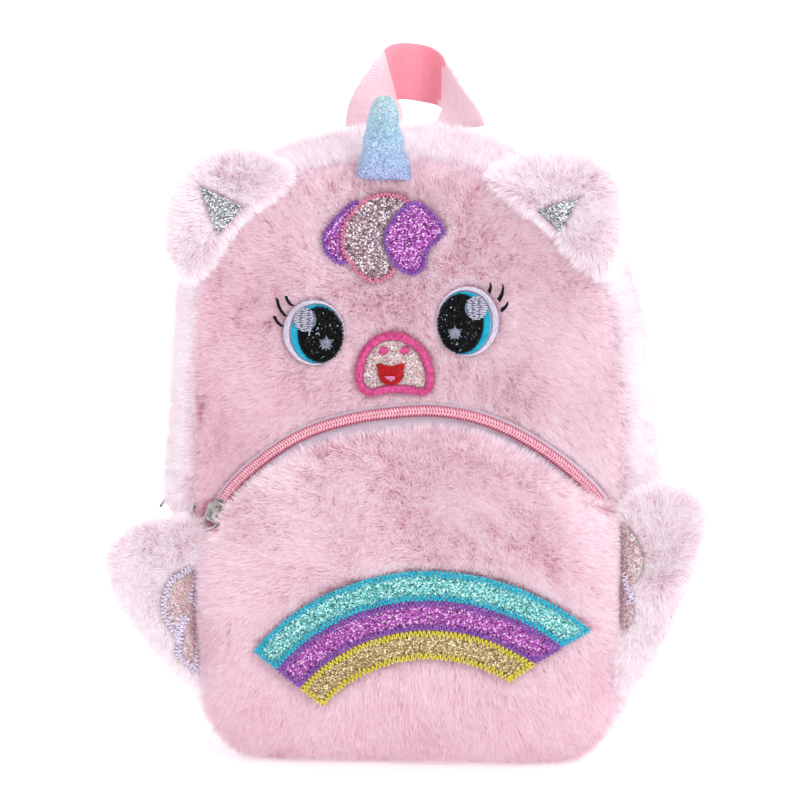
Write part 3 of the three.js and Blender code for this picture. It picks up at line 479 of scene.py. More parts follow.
WHITE_THREAD = Thread("white_thread", "#C2B9D0", "#DDD6E8", specular=0.35)
TEAL_THREAD = Thread("teal_thread", "#008CAE", "#00AED0", specular=0.3)
CYAN_THREAD = Thread("cyan_thread", "#069DC0", "#10C4E4")
PURPLE_THREAD = Thread("purple_thread", "#6E3F9C", "#9660C0")
YELLOW_THREAD = Thread("yellow_thread", "#CFBE22", "#EBDF4A")
PINK_THREAD = Thread("pink_satin_thread", "#BC3074", "#E25E9E", specular=0.35)
ROSE_THREAD = Thread("rose_thread", "#D0648C", "#EC93B0")
RED_THREAD = Thread("red_satin_thread", "#960008", "#CC0A12", specular=0.25)
TONGUE_THREAD = Thread("tongue_thread", "#D0709E", "#E898BE")
SLATE_THREAD = Thread("slate_thread", "#3E4A5C", "#6E7C90")
GREY_THREAD = Thread("star_thread", "#6E7284", "#A0A6B8")
BLACK_THREAD = Thread("lash_thread", "#040405", "#121215", specular=0.16)
LILAC_THREAD = Thread("lilac_thread", "#CFC2E6", "#F2ECFC")

# Lit and shaded copies of one pink webbing: the pale outer face is painted light, the coral inner face
# painted shade.
PAINTED_LIGHT_WEBBING = Woven("webbing_outer_face_painted_light", "#F8C6D6", "#FFE8F0")
PAINTED_SHADE_WEBBING = Woven("webbing_inner_face_painted_shade", "#F68A9E", "#FFA4B4")
STRAP_WEBBING = Woven("webbing_strap", "#E996AC", "#F4B4C4")
ZIP_TAPE = FineTape("zip_tape_weave", "#BFA6C2", "#EFE2F0")
COIL_NYLON = Moulded("coil_nylon", "#EAA4B7", "#F8CAD6")
DEEP_NYLON = Moulded("coil_seam_nylon", "#B84C6C", "#CE6A86")
PINK_MOULDING = Moulded("adjuster_nylon", "#F09AB0", "#F8B4C4")
NICKEL = Metal("nickel_plate", "#8A8684", "#C6C2BE", 0.26)
GUNMETAL = Metal("dark_plate", "#4C4A50", "#7A787E", 0.3)


class Palette:
    """Materials, each made once."""

    made: dict[str, bpy.types.Material] = {}

    @classmethod
    def of(cls, name: str, maker: Callable[[], bpy.types.Material]) -> bpy.types.Material:
        """The material of a name, made at its first use."""
        if name not in cls.made:
            cls.made[name] = maker()
        return cls.made[name]


def finished(finish: Dye | Glitter | Thread | Woven | FineTape | Metal | Moulded) -> bpy.types.Material:
    """The material of a finish."""
    return Palette.of(finish.name, finish.material)


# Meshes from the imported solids


def copy_of(node: str) -> bmesh.types.BMesh:
    """A merged copy of a node's mesh."""
    bm = bmesh.new()
    bm.from_mesh(bpy.data.objects[node].data)
    bmesh.ops.remove_doubles(bm, verts=bm.verts, dist=MERGE)
    bm.normal_update()
    return bm


def piece_from(bm: bmesh.types.BMesh, name: str, *materials: bpy.types.Material,
               sharp: float | None = None) -> bpy.types.Object:
    """Turns a bmesh into an object of the scene.

    Args:
        bm: the mesh, which is freed.
        name: the object's name.
        materials: its material slots.
        sharp: angle in degrees past which an edge stays sharp.

    Returns:
        The object.
    """
    mesh = bpy.data.meshes.new(name)
    bm.to_mesh(mesh)
    bm.free()
    mesh.shade_smooth()
    if sharp is not None:
        mesh.set_sharp_from_angle(angle=math.radians(sharp))
    return linked(name, mesh, *materials)


def linked(name: str, mesh: bpy.types.Mesh, *materials: bpy.types.Material) -> bpy.types.Object:
    """Puts a mesh into the scene with its materials."""
    for material in materials:
        mesh.materials.append(material)
    piece = bpy.data.objects.new(name, mesh)
    bpy.context.scene.collection.objects.link(piece)
    return piece


def applied(piece: bpy.types.Object) -> bpy.types.Object:
    """Bakes a piece's modifiers into its mesh."""
    graph = bpy.context.evaluated_depsgraph_get()
    mesh = bpy.data.meshes.new_from_object(piece.evaluated_get(graph), depsgraph=graph)
    piece.modifiers.clear()
    piece.data = mesh
    return piece


def smoothed(piece: bpy.types.Object, levels: int) -> bpy.types.Object:
    """Subdivides a piece into a smooth surface."""
    modifier = piece.modifiers.new("smooth", "SUBSURF")
    modifier.levels = modifier.render_levels = levels
    return applied(piece)


def joined(name: str, points: np.ndarray, triangles: np.ndarray, material: bpy.types.Material,
           charts: dict[str, np.ndarray] | None = None) -> bpy.types.Object:
    """One object of many small repeated shapes.

    Args:
        name: the object's name.
        points: a row for each vertex.
        triangles: three vertex numbers a row.
        material: its finish.
        charts: named surface charts, with a row for each vertex.

    Returns:
        The object.
    """
    mesh = bpy.data.meshes.new(name)
    mesh.vertices.add(len(points))
    mesh.vertices.foreach_set("co", points.astype(np.float32).ravel())
    corners = triangles.astype(np.int32).ravel()
    mesh.loops.add(len(corners))
    mesh.loops.foreach_set("vertex_index", corners)
    mesh.polygons.add(len(triangles))
    mesh.polygons.foreach_set("loop_start", np.arange(0, len(corners), 3, dtype=np.int32))
    mesh.update(calc_edges=True)
    mesh.shade_smooth()
    for label, chart in (charts or {}).items():
        layer = mesh.uv_layers.new(name=label)
        layer.data.foreach_set("uv", chart[corners].astype(np.float32).ravel())
    return linked(name, mesh, material)


def rows_of(mesh: bpy.types.Mesh, what: str = "co") -> np.ndarray:
    """Places or normals of a mesh's vertices, a row each."""
    rows = np.empty(len(mesh.vertices) * 3)
    mesh.vertices.foreach_get(what, rows)
    return rows.reshape(-1, 3)


def put_rows(mesh: bpy.types.Mesh, rows: np.ndarray) -> None:
    """Moves a mesh's vertices to new places."""
    mesh.vertices.foreach_set("co", rows.ravel())
    mesh.update()


def bevelled(bm: bmesh.types.BMesh, angle: float, offset: float, segments: int = 2) -> None:
    """Rounds the edges of a mesh where it turns by more than an angle in degrees."""
    edges = [e for e in bm.edges if e.calc_face_angle(0) > math.radians(angle)]
    bmesh.ops.bevel(
        bm, geom=edges, offset=offset, offset_type="OFFSET", affect="EDGES", segments=segments, profile=0.5,
        material=-1, clamp_overlap=True)


def bars(name: str, stations: Sequence[np.ndarray], side: np.ndarray, up: np.ndarray, radius: float,
         sides: int, material: bpy.types.Material) -> bpy.types.Object:
    """One object of many round bars, each with a pointed end.

    Args:
        name: the object's name.
        stations: first points, middles of the two rings, and last points, with a row for each bar.
        side: direction across each bar.
        up: the other direction across it.
        radius: of the rings.
        sides: corners of a ring.
        material: the finish.

    Returns:
        The object.
    """
    first, *middles, last = stations
    angles = np.arange(sides) * 2 * math.pi / sides
    rings = [np.stack([middle + (side * math.cos(a) + up * math.sin(a)) * radius for a in angles], axis=1)
             for middle in middles]
    points = np.concatenate([first[:, None], *rings, last[:, None]], axis=1)
    faces = []
    for k in range(sides):
        a, b = 1 + k, 1 + (k + 1) % sides
        faces += [[0, b, a], [a, b, b + sides], [a, b + sides, a + sides],
                  [a + sides, b + sides, 2 * sides + 1]]
    number = np.arange(len(first))[:, None, None] * (2 * sides + 2)
    triangles = (number + np.array(faces)[None]).reshape(-1, 3)
    return joined(name, points.reshape(-1, 3), triangles, material)


def run_of(line: np.ndarray) -> np.ndarray:
    """Distance along a line to each of its corners."""
    return np.concatenate([[0], np.cumsum(np.linalg.norm(np.diff(line, axis=0), axis=1))])


def stops_on(line: np.ndarray, stops: np.ndarray) -> np.ndarray:
    """Places at given distances along a line."""
    return np.stack([np.interp(stops, run_of(line), line[:, k]) for k in range(3)], axis=1)


def dress(piece: bpy.types.Object, slot: str, *nodes: str, body: str = "bag",
          fill: float | None = None) -> bpy.types.Object:
    """Fixes a piece to the bag and hides the solids that it replaces.

    Args:
        piece: the piece.
        slot: the material slot; not used.
        nodes: the solids that it replaces.
        body: the body that it moves with.
        fill: how tight it is stuffed, for a padded piece; not used.

    Returns:
        The piece.
    """
    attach(piece, body)
    if nodes:
        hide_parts(*nodes)
    LOG.info("%s: %d faces", piece.name, len(piece.data.polygons))
    return piece


class Clearing:
    """Map, as seen from the front, of the patches and trim that pile is parted round."""

    cell = 0.5 * MM
    reach = 22

    def __init__(self, nodes: Iterable[str]) -> None:
        self.low = np.array([-150.0, -10.0]) * MM
        self.shape = (600, 660)
        covered = np.zeros(self.shape, bool)
        for node in nodes:
            self._stamp(covered, node)
        self.outside = self._steps(covered)
        self.inside = self._steps(~covered)
        across, up = np.gradient(self.outside - self.inside)
        self.slope = np.stack([across, up], axis=-1) / self.cell

    def _stamp(self, covered: np.ndarray, node: str) -> None:
        """Marks a node's shadow on the map."""
        mesh = bpy.data.objects[node].data
        mesh.calc_loop_triangles()
        flat = (rows_of(mesh)[:, [0, 2]] - self.low) / self.cell
        for triangle in mesh.loop_triangles:
            a, b, c = (flat[k] for k in triangle.vertices)
            size = (b[0] - a[0]) * (c[1] - a[1]) - (b[1] - a[1]) * (c[0] - a[0])
            if abs(size) < 1e-6:
                continue
            low = np.floor(np.minimum(np.minimum(a, b), c)).astype(int)
            high = np.ceil(np.maximum(np.maximum(a, b), c)).astype(int) + 1
            i, j = np.mgrid[low[0]:high[0], low[1]:high[1]]
            u = ((i - a[0]) * (c[1] - a[1]) - (j - a[1]) * (c[0] - a[0])) / size
            v = ((b[0] - a[0]) * (j - a[1]) - (b[1] - a[1]) * (i - a[0])) / size
            hit = (u >= 0) & (v >= 0) & (u + v <= 1)
            covered[i[hit], j[hit]] = True

    def _steps(self, covered: np.ndarray) -> np.ndarray:
        """Distance from each cell to the covered ones, as far as the reach."""
        distance = np.where(covered, 0.0, self.reach * self.cell)
        grown = covered.copy()
        for step in range(1, self.reach):
            wide = grown.copy()
            wide[1:] |= grown[:-1]
            wide[:-1] |= grown[1:]
            wide[:, 1:] |= grown[:, :-1]
            wide[:, :-1] |= grown[:, 1:]
            if step % 2:
                wide[1:, 1:] |= grown[:-1, :-1]
                wide[:-1, :-1] |= grown[1:, 1:]
                wide[1:, :-1] |= grown[:-1, 1:]
                wide[:-1, 1:] |= grown[1:, :-1]
            distance[wide & ~grown] = step * self.cell
            grown = wide
        return distance

    def look(self, points: np.ndarray) -> tuple[np.ndarray, np.ndarray, np.ndarray]:
        """Reads the map under points.

        Args:
            points: places, a row each.

        Returns:
            The distance outside an edge, the depth inside it, and the direction away from it.
        """
        index = np.rint((points[:, [0, 2]] - self.low) / self.cell).astype(int)
        i = np.clip(index[:, 0], 0, self.shape[0] - 1)
        j = np.clip(index[:, 1], 0, self.shape[1] - 1)
        away = np.zeros_like(points)
        away[:, [0, 2]] = self.slope[i, j]
        return self.outside[i, j], self.inside[i, j], unit(away)


class Facing(Enum):
    """Which side of a solid wears pile."""

    FRONT = "front"
    REAR = "rear"
    AROUND = "around"
    ALL = "all"

    def wears(self, normal: Vector, centre: Vector) -> bool:
        """Whether a face of this normal at this place wears pile."""
        radial = centre - HEAD_MIDDLE
        radial.y = 0
        outward = normal.dot(radial.normalized())
        if self is Facing.FRONT:
            return normal.y < 0.25
        if self is Facing.REAR:
            return normal.y > -0.15
        if self is Facing.AROUND:
            return outward > 0.2
        return True


@dataclass(frozen=True)
class Pile:
    """Plush on one solid: a backing cloth a little inside it and strands that reach past its surface."""

    node: str
    strands: int
    seed: int
    dye: Dye = PINK_PLUSH
    facing: Facing = Facing.FRONT
    slot: str = "fur"
    length: float = 6.6 * MM
    width: float = 0.46 * MM
    sink: float = 3.4 * MM
    sink_share: float = 0.5
    fit: float | None = None
    hub: tuple[float, float] | None = None
    droop: float = 0.22
    outward: float = 0.5
    wander: float = 0.24
    upright: float = 0.8
    fill: float | None = None
    # Painted light and shade: a change of paleness by place, as a base and a change per millimetre across and
    # up.
    tone: tuple[float, float, float] = (0.0, 0.0, 0.0)

    # How the pile parts, dips at a seam with painted shade and gathers; the locks' rows are strands, pull and
    # spread of shade.
    spare = 2.4
    ripple = 0.16
    covered = 4 * MM
    tucked = 1.0 * MM
    metal_gap = 1.3 * MM
    parting = 3.5 * MM
    halo = 10 * MM
    seam_dip = 0.4
    seam_painted_shade = 0.38
    locks = ((14, 0.22, 0.09), (180, 0.08, 0.05))
    painted_light_and_shade_range = (-0.46, 0.12)
    shade_range = (0.03, 0.97)
    chart_width = 0.012

    def backing(self) -> bpy.types.Object:
        """Backing cloth: the solid with its pile side moved in, rounded by subdivision."""
        bm = copy_of(self.node)
        for face in bm.faces:
            face.material_index = int(self.facing.wears(face.normal, face.calc_center_median()))
        piled = [v for v in bm.verts if any(f.material_index for f in v.link_faces)]
        inner = [v for v in piled if all(f.material_index for f in v.link_faces)]
        within = set(inner)
        for _ in range(2):
            bmesh.ops.smooth_vert(
                bm, verts=inner, factor=0.5, use_axis_x=True, use_axis_y=True, use_axis_z=True)
        bm.normal_update()
        tree = BVHTree.FromBMesh(bm)
        moves = []
        for vert in piled:
            out = sum((f.normal * f.calc_area() for f in vert.link_faces if f.material_index), Vector())
            out.normalize()
            hit = tree.ray_cast(vert.co - out * 0.2 * MM, -out)
            thick = hit[3] if hit[3] is not None else self.sink
            if vert in within:
                moves.append((vert, out * min(self.sink, self.sink_share * thick)))
        for vert, move in moves:
            vert.co -= move
        crease = bm.edges.layers.float.new("crease_edge")
        for edge in bm.edges:
            edge[crease] = float(len({f.material_index for f in edge.link_faces}) > 1)
        cloth = Palette.of(f"{self.dye.name}_backing", self.dye.cloth)
        piece = smoothed(piece_from(bm, f"{self.node}_cloth", cloth, cloth), 1)
        if self.fit is not None:
            self._refit(piece)
        return piece

    def _refit(self, piece: bpy.types.Object) -> None:
        """Brings a stuffed piece back to its share of the solid's outline, which rounding has taken in."""
        low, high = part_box(self.node)
        rows = rows_of(piece.data)
        for axis in (0, 2):
            least, most = rows[:, axis].min(), rows[:, axis].max()
            stretch = (high[axis] - low[axis]) * self.fit / (most - least)
            rows[:, axis] = (low[axis] + high[axis]) / 2 + (rows[:, axis] - (least + most) / 2) * stretch
        put_rows(piece.data, rows)

    def roots(self, mesh: bpy.types.Mesh, count: int,
              rng: np.random.Generator) -> tuple[np.ndarray, np.ndarray]:
        """Random places on the piled side, and the surface normals there."""
        mesh.calc_loop_triangles()
        total = len(mesh.loop_triangles)
        corners = np.empty(total * 3, np.int32)
        mesh.loop_triangles.foreach_get("vertices", corners)
        owner = np.empty(total, np.int32)
        mesh.loop_triangles.foreach_get("polygon_index", owner)
        piled = np.empty(len(mesh.polygons), np.int32)
        mesh.polygons.foreach_get("material_index", piled)
        co, facing = rows_of(mesh), rows_of(mesh, "normal")
        corners = corners.reshape(-1, 3)[piled[owner] == 1]
        a, b, c = co[corners[:, 0]], co[corners[:, 1]], co[corners[:, 2]]
        areas = np.cumsum(np.linalg.norm(np.cross(b - a, c - a), axis=1))
        pick = np.searchsorted(areas, rng.random(count) * areas[-1])
        u, v = rng.random((2, count))
        fold = u + v > 1
        u[fold], v[fold] = 1 - u[fold], 1 - v[fold]
        shares = np.stack([1 - u - v, u, v], axis=1)[:, :, None]
        chosen = corners[pick]
        return (co[chosen] * shares).sum(1), unit((facing[chosen] * shares).sum(1))

    def flow(self, points: np.ndarray, normals: np.ndarray) -> np.ndarray:
        """Way the strands lie along the surface."""
        low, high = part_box(self.node)
        hub = self.hub or ((low.x + high.x) / 2, (low.z + high.z) / 2)
        out = points - np.array([hub[0], 0.0, hub[1]])
        out[:, 1] = 0
        far = np.clip(np.linalg.norm(out, axis=1, keepdims=True) / (70 * MM), 0.25, 1.0)
        way = unit(out) * self.outward * far + swirl(points, 42 * MM, self.seed) * self.wander
        way = way + swirl(points, 8 * MM, self.seed + 50) * self.ripple
        way[:, 2] -= self.droop
        return flatten(way, normals)

    def groove(self, points: np.ndarray, rim: Clearing | None) -> np.ndarray:
        """How near the strands stand to the seam round the face, from 0 to 1."""
        if rim is None:
            return np.zeros(len(points))
        if self.facing is Facing.AROUND:
            return np.clip(1 - (points[:, 1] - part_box(self.node)[0].y) / (6 * MM), 0, 1)
        return np.clip(1 - rim.look(points)[1] / (5 * MM), 0, 1)

    def strands_piece(self, cloth: bpy.types.Object, parted: Clearing | None,
                      hidden: Clearing | None, rim: Clearing | None,
                      metal: Clearing | None) -> bpy.types.Object:
        """All strands of the pile, gathered in small locks.

        Args:
            cloth: the backing.
            parted: patches and trim that the pile leans away from.
            hidden: what covers the pile altogether.
            rim: shape whose edge is a seam that the pile dips into and deepens towards with painted shade.
            metal: hard trim with no pile close to it.

        Returns:
            The strands, as one object.
        """
        rng = np.random.default_rng(self.seed)
        points, normals = self.roots(cloth.data, int(self.strands * self.spare), rng)
        keep = np.ones(len(points), bool)
        if parted is not None:
            keep &= parted.look(points)[1] < self.tucked
        if hidden is not None:
            keep &= hidden.look(points)[1] < self.covered
        if metal is not None:
            keep &= metal.look(points)[0] > self.metal_gap
        points, normals = points[keep][:self.strands], normals[keep][:self.strands]
        flow = self.flow(points, normals)
        length = self.length * rng.uniform(0.7, 1.2, (len(points), 1))
        pale = np.zeros(len(points))
        if parted is not None:
            gap, _, away = parted.look(points)
            near = np.clip(1 - gap / self.parting, 0, 1)[:, None]
            flow = flow * (1 - near) + flatten(away, normals) * near * 0.5
            length = length * (1 - 0.25 * near)
            pale = np.clip(1 - gap / self.halo, 0, 1) * 0.3
        dip = self.groove(points, rim)
        length = length * (1 - self.seam_dip * dip[:, None])
        # Painted shade: strands near the face seam are deeper in colour, for the shade in the seam's groove.
        return self._blades(points, normals, flow, length, pale - self.seam_painted_shade * dip, rng)

    def _blades(self, points: np.ndarray, normals: np.ndarray, flow: np.ndarray, length: np.ndarray,
                pale: np.ndarray, rng: np.random.Generator) -> bpy.types.Object:
        """Builds the strands from their roots, lean, length and paleness, adding painted light and shade by
        place; the paleness brings painted shade near the face seam.
        """
        count = len(points)
        way = unit(normals * self.upright + flow * 0.8 + rng.normal(size=(count, 3)) * 0.22)
        tip = points + way * length
        shade = 0.5 + pale
        for size, pull, spread in self.locks:
            seeds = rng.choice(count, max(8, count // size), replace=False)
            lock = self._nearest(points, seeds)
            tip = tip + (tip[lock] - tip) * pull
            shade = shade + (rng.normal(size=count) * spread)[lock]
        shade = shade + rng.normal(size=count) * 0.11 + swirl(points, 45 * MM, self.seed + 9)[:, 0] * 0.05
        # Painted light and shade: strands paler or deeper by where they stand on the bag.
        base, across, up = self.tone
        shade = shade + np.clip(base + (across * points[:, 0] + up * points[:, 2]) / MM, *self.painted_light_and_shade_range)
        shade = np.clip(shade, *self.shade_range)
        blade = unit(tip - points)
        side = unit(np.cross(blade, normals) + rng.normal(size=(count, 3)) * 0.12)
        half = side * self.width * 0.5 * rng.uniform(0.7, 1.25, (count, 1))
        corners = np.stack([points - half, points + half, tip], axis=1).reshape(-1, 3)
        corners[:, 2] = np.maximum(corners[:, 2], FLOOR_CLEARANCE)
        triangles = np.arange(count * 3).reshape(-1, 3)
        chart = np.stack([
            np.stack([shade - self.chart_width, shade + self.chart_width, shade], axis=1),
            np.tile([0.0, 0.0, 1.0], (count, 1)),
        ], axis=2).reshape(-1, 2)
        return joined(
            f"{self.node}_pile", corners, triangles, finished(self.dye), {"pile": chart, "OFBake": chart})

    @staticmethod
    def _nearest(points: np.ndarray, seeds: np.ndarray) -> np.ndarray:
        """For each point, the number of the nearest seed point."""
        tree = KDTree(len(seeds))
        for seed in seeds:
            tree.insert(points[seed], int(seed))
        tree.balance()
        return np.array([tree.find(point)[1] for point in points])

    def build(self, parted: Clearing | None = None, hidden: Clearing | None = None,
              rim: Clearing | None = None, metal: Clearing | None = None) -> None:
        """Makes the backing and the strands.

        Args:
            parted: patches and trim that the pile leans away from.
            hidden: what covers the pile altogether.
            rim: shape whose edge is a seam that the pile dips into and deepens towards with painted shade.
            metal: hard trim with no pile close to it.
        """
        cloth = self.backing()
        strands = self.strands_piece(cloth, parted, hidden, rim, metal)
        dress(cloth, self.slot, self.node, fill=self.fill)
        dress(strands, self.slot, self.node)


# Stitches


def loop_of(node: str) -> np.ndarray:
    """Outline of a patch's front face, in order round it.

    Args:
        node: the patch.

    Returns:
        A row for each corner.
    """
    bm = copy_of(node)
    front = {f for f in bm.faces if f.normal.y < -0.35}
    rim = [e for e in bm.edges if sum(f in front for f in e.link_faces) == 1]
    beside: dict[int, list[int]] = {}
    for edge in rim:
        a, b = (v.index for v in edge.verts)
        beside.setdefault(a, []).append(b)
        beside.setdefault(b, []).append(a)
    start = min(beside)
    order = [start, beside[start][0]]
    while order[-1] != start and len(order) <= len(beside):
        ahead = [k for k in beside[order[-1]] if k != order[-2]]
        order.append(ahead[0])
    bm.verts.ensure_lookup_table()
    points = np.array([bm.verts[k].co for k in order[:len(beside)]])
    bm.free()
    flat = points[:, [0, 2]]
    turn = np.roll(flat, -1, axis=0)
    area = (flat[:, 0] * turn[:, 1] - turn[:, 0] * flat[:, 1]).sum()
    return points if area > 0 else points[::-1]


def walk(points: np.ndarray, pitch: float) -> tuple[np.ndarray, np.ndarray]:
    """Evenly spaced places round a closed line, with the direction to its left.

    Args:
        points: corners of the line.
        pitch: distance between places.

    Returns:
        The places, and the sideways directions seen from the front.
    """
    line = np.vstack([points, points[:1]])
    length = run_of(line)[-1]
    count = max(4, 2 * round(length / pitch / 2))
    places = stops_on(line, np.linspace(0, length, count, endpoint=False))
    ahead = np.roll(places, -1, axis=0) - np.roll(places, 1, axis=0)
    left = np.stack([-ahead[:, 2], np.zeros(len(ahead)), ahead[:, 0]], axis=1)
    return places, unit(left)


def stitches(name: str, starts: np.ndarray, ends: np.ndarray, material: bpy.types.Material,
             radius: float, rise: float) -> bpy.types.Object:
    """Row of stitches, each a thread that rises a little over the cloth between two needle holes.

    Args:
        name: the piece's name.
        starts: one needle hole of each stitch.
        ends: the other.
        material: the thread.
        radius: of the thread.
        rise: how far its middle stands off the cloth, towards the front.

    Returns:
        The row, as one object.
    """
    along = unit(ends - starts)
    side = unit(np.cross(along, np.tile([0.0, -1.0, 0.0], (len(starts), 1))))
    out = np.cross(side, along)
    shoulders = [starts + (ends - starts) * share + out * rise for share in (0.22, 0.78)]
    return bars(name, [starts, *shoulders, ends], side, out, radius, 5, material)


def zigzag(name: str, line: np.ndarray, inside: float, outside: float, pitch: float, thread: Thread,
           seed: int) -> bpy.types.Object:
    """Zigzag row over a patch's edge.

    Args:
        name: the piece's name.
        line: the edge, which has the patch on its left.
        inside: reach of the stitches over the patch.
        outside: reach past its edge.
        pitch: distance between needle holes along the edge.
        thread: the finish.
        seed: of the randomness.

    Returns:
        The row.
    """
    rng = np.random.default_rng(seed)
    places, left = walk(line, pitch)
    reach = np.where(np.arange(len(places)) % 2 == 0, inside, -outside)
    reach = reach * (1 + ZIGZAG_ERROR * rng.normal(size=len(places)))
    holes = places + left * reach[:, None]
    holes[:, 1] -= NEEDLE_LIFT
    return stitches(name, holes, np.roll(holes, -1, axis=0), finished(thread), 0.3 * MM, 0.45 * MM)


def satin(name: str, first: np.ndarray, second: np.ndarray, thread: Thread, lift: float = NEEDLE_LIFT,
          radius: float = 0.26 * MM, uneven: float = 0.12 * MM, rise: float = 0.3 * MM) -> bpy.types.Object:
    """Satin stitch: threads side by side from one edge to another.

    Args:
        name: the piece's name.
        first: needle holes along one edge.
        second: as many along the other.
        thread: the finish.
        lift: of the needle holes off the cloth.
        radius: of the thread.
        uneven: random error of a needle hole.
        rise: how far a thread's middle stands off the cloth.

    Returns:
        The stitches.
    """
    rng = np.random.default_rng(SATIN_SEED)
    starts, ends = first.copy(), second.copy()
    along = unit(ends - starts)
    starts -= along * np.abs(rng.normal(size=(len(starts), 1))) * uneven
    ends += along * np.abs(rng.normal(size=(len(ends), 1))) * uneven
    starts[:, 1] -= lift
    ends[:, 1] -= lift
    return stitches(name, starts, ends, finished(thread), radius, rise)


@dataclass(frozen=True)
class Patch:
    """Piece of cloth sewn to the pile, with a turned edge."""

    node: str
    finish: Glitter | Thread
    slot: str

    def build(self) -> bpy.types.Object:
        """The patch with rounded edges and a smooth face."""
        bm = copy_of(self.node)
        bevelled(bm, 50, 0.22 * MM)
        piece = piece_from(bm, f"{self.node}_cloth", finished(self.finish), sharp=50)
        return dress(piece, self.slot, self.node)


def surface_y(nodes: Sequence[str]) -> Callable[[float, float], float]:
    """Finds the front of some solids.

    Args:
        nodes: the solids.

    Returns:
        A function of x and z that gives the y of their front surface.
    """
    bm = bmesh.new()
    for node in nodes:
        bm.from_mesh(bpy.data.objects[node].data)
    tree = BVHTree.FromBMesh(bm)
    bm.free()

    def at(x: float, z: float) -> float:
        """The y of the front surface at x and z."""
        hit = tree.ray_cast(Vector((x, -0.2, z)), Vector((0, 1, 0)))
        return hit[0].y if hit[0] is not None else -48 * MM

    return at


def laid(flat: np.ndarray, front: Callable[[float, float], float], lift: float = 0.0) -> np.ndarray:
    """Lays places given by x and z onto a surface.

    Args:
        flat: x and z, a row each.
        front: the surface.
        lift: how far off it.

    Returns:
        The places.
    """
    return np.array([[x, front(x, z) - lift, z] for x, z in flat])


# Sub-assemblies


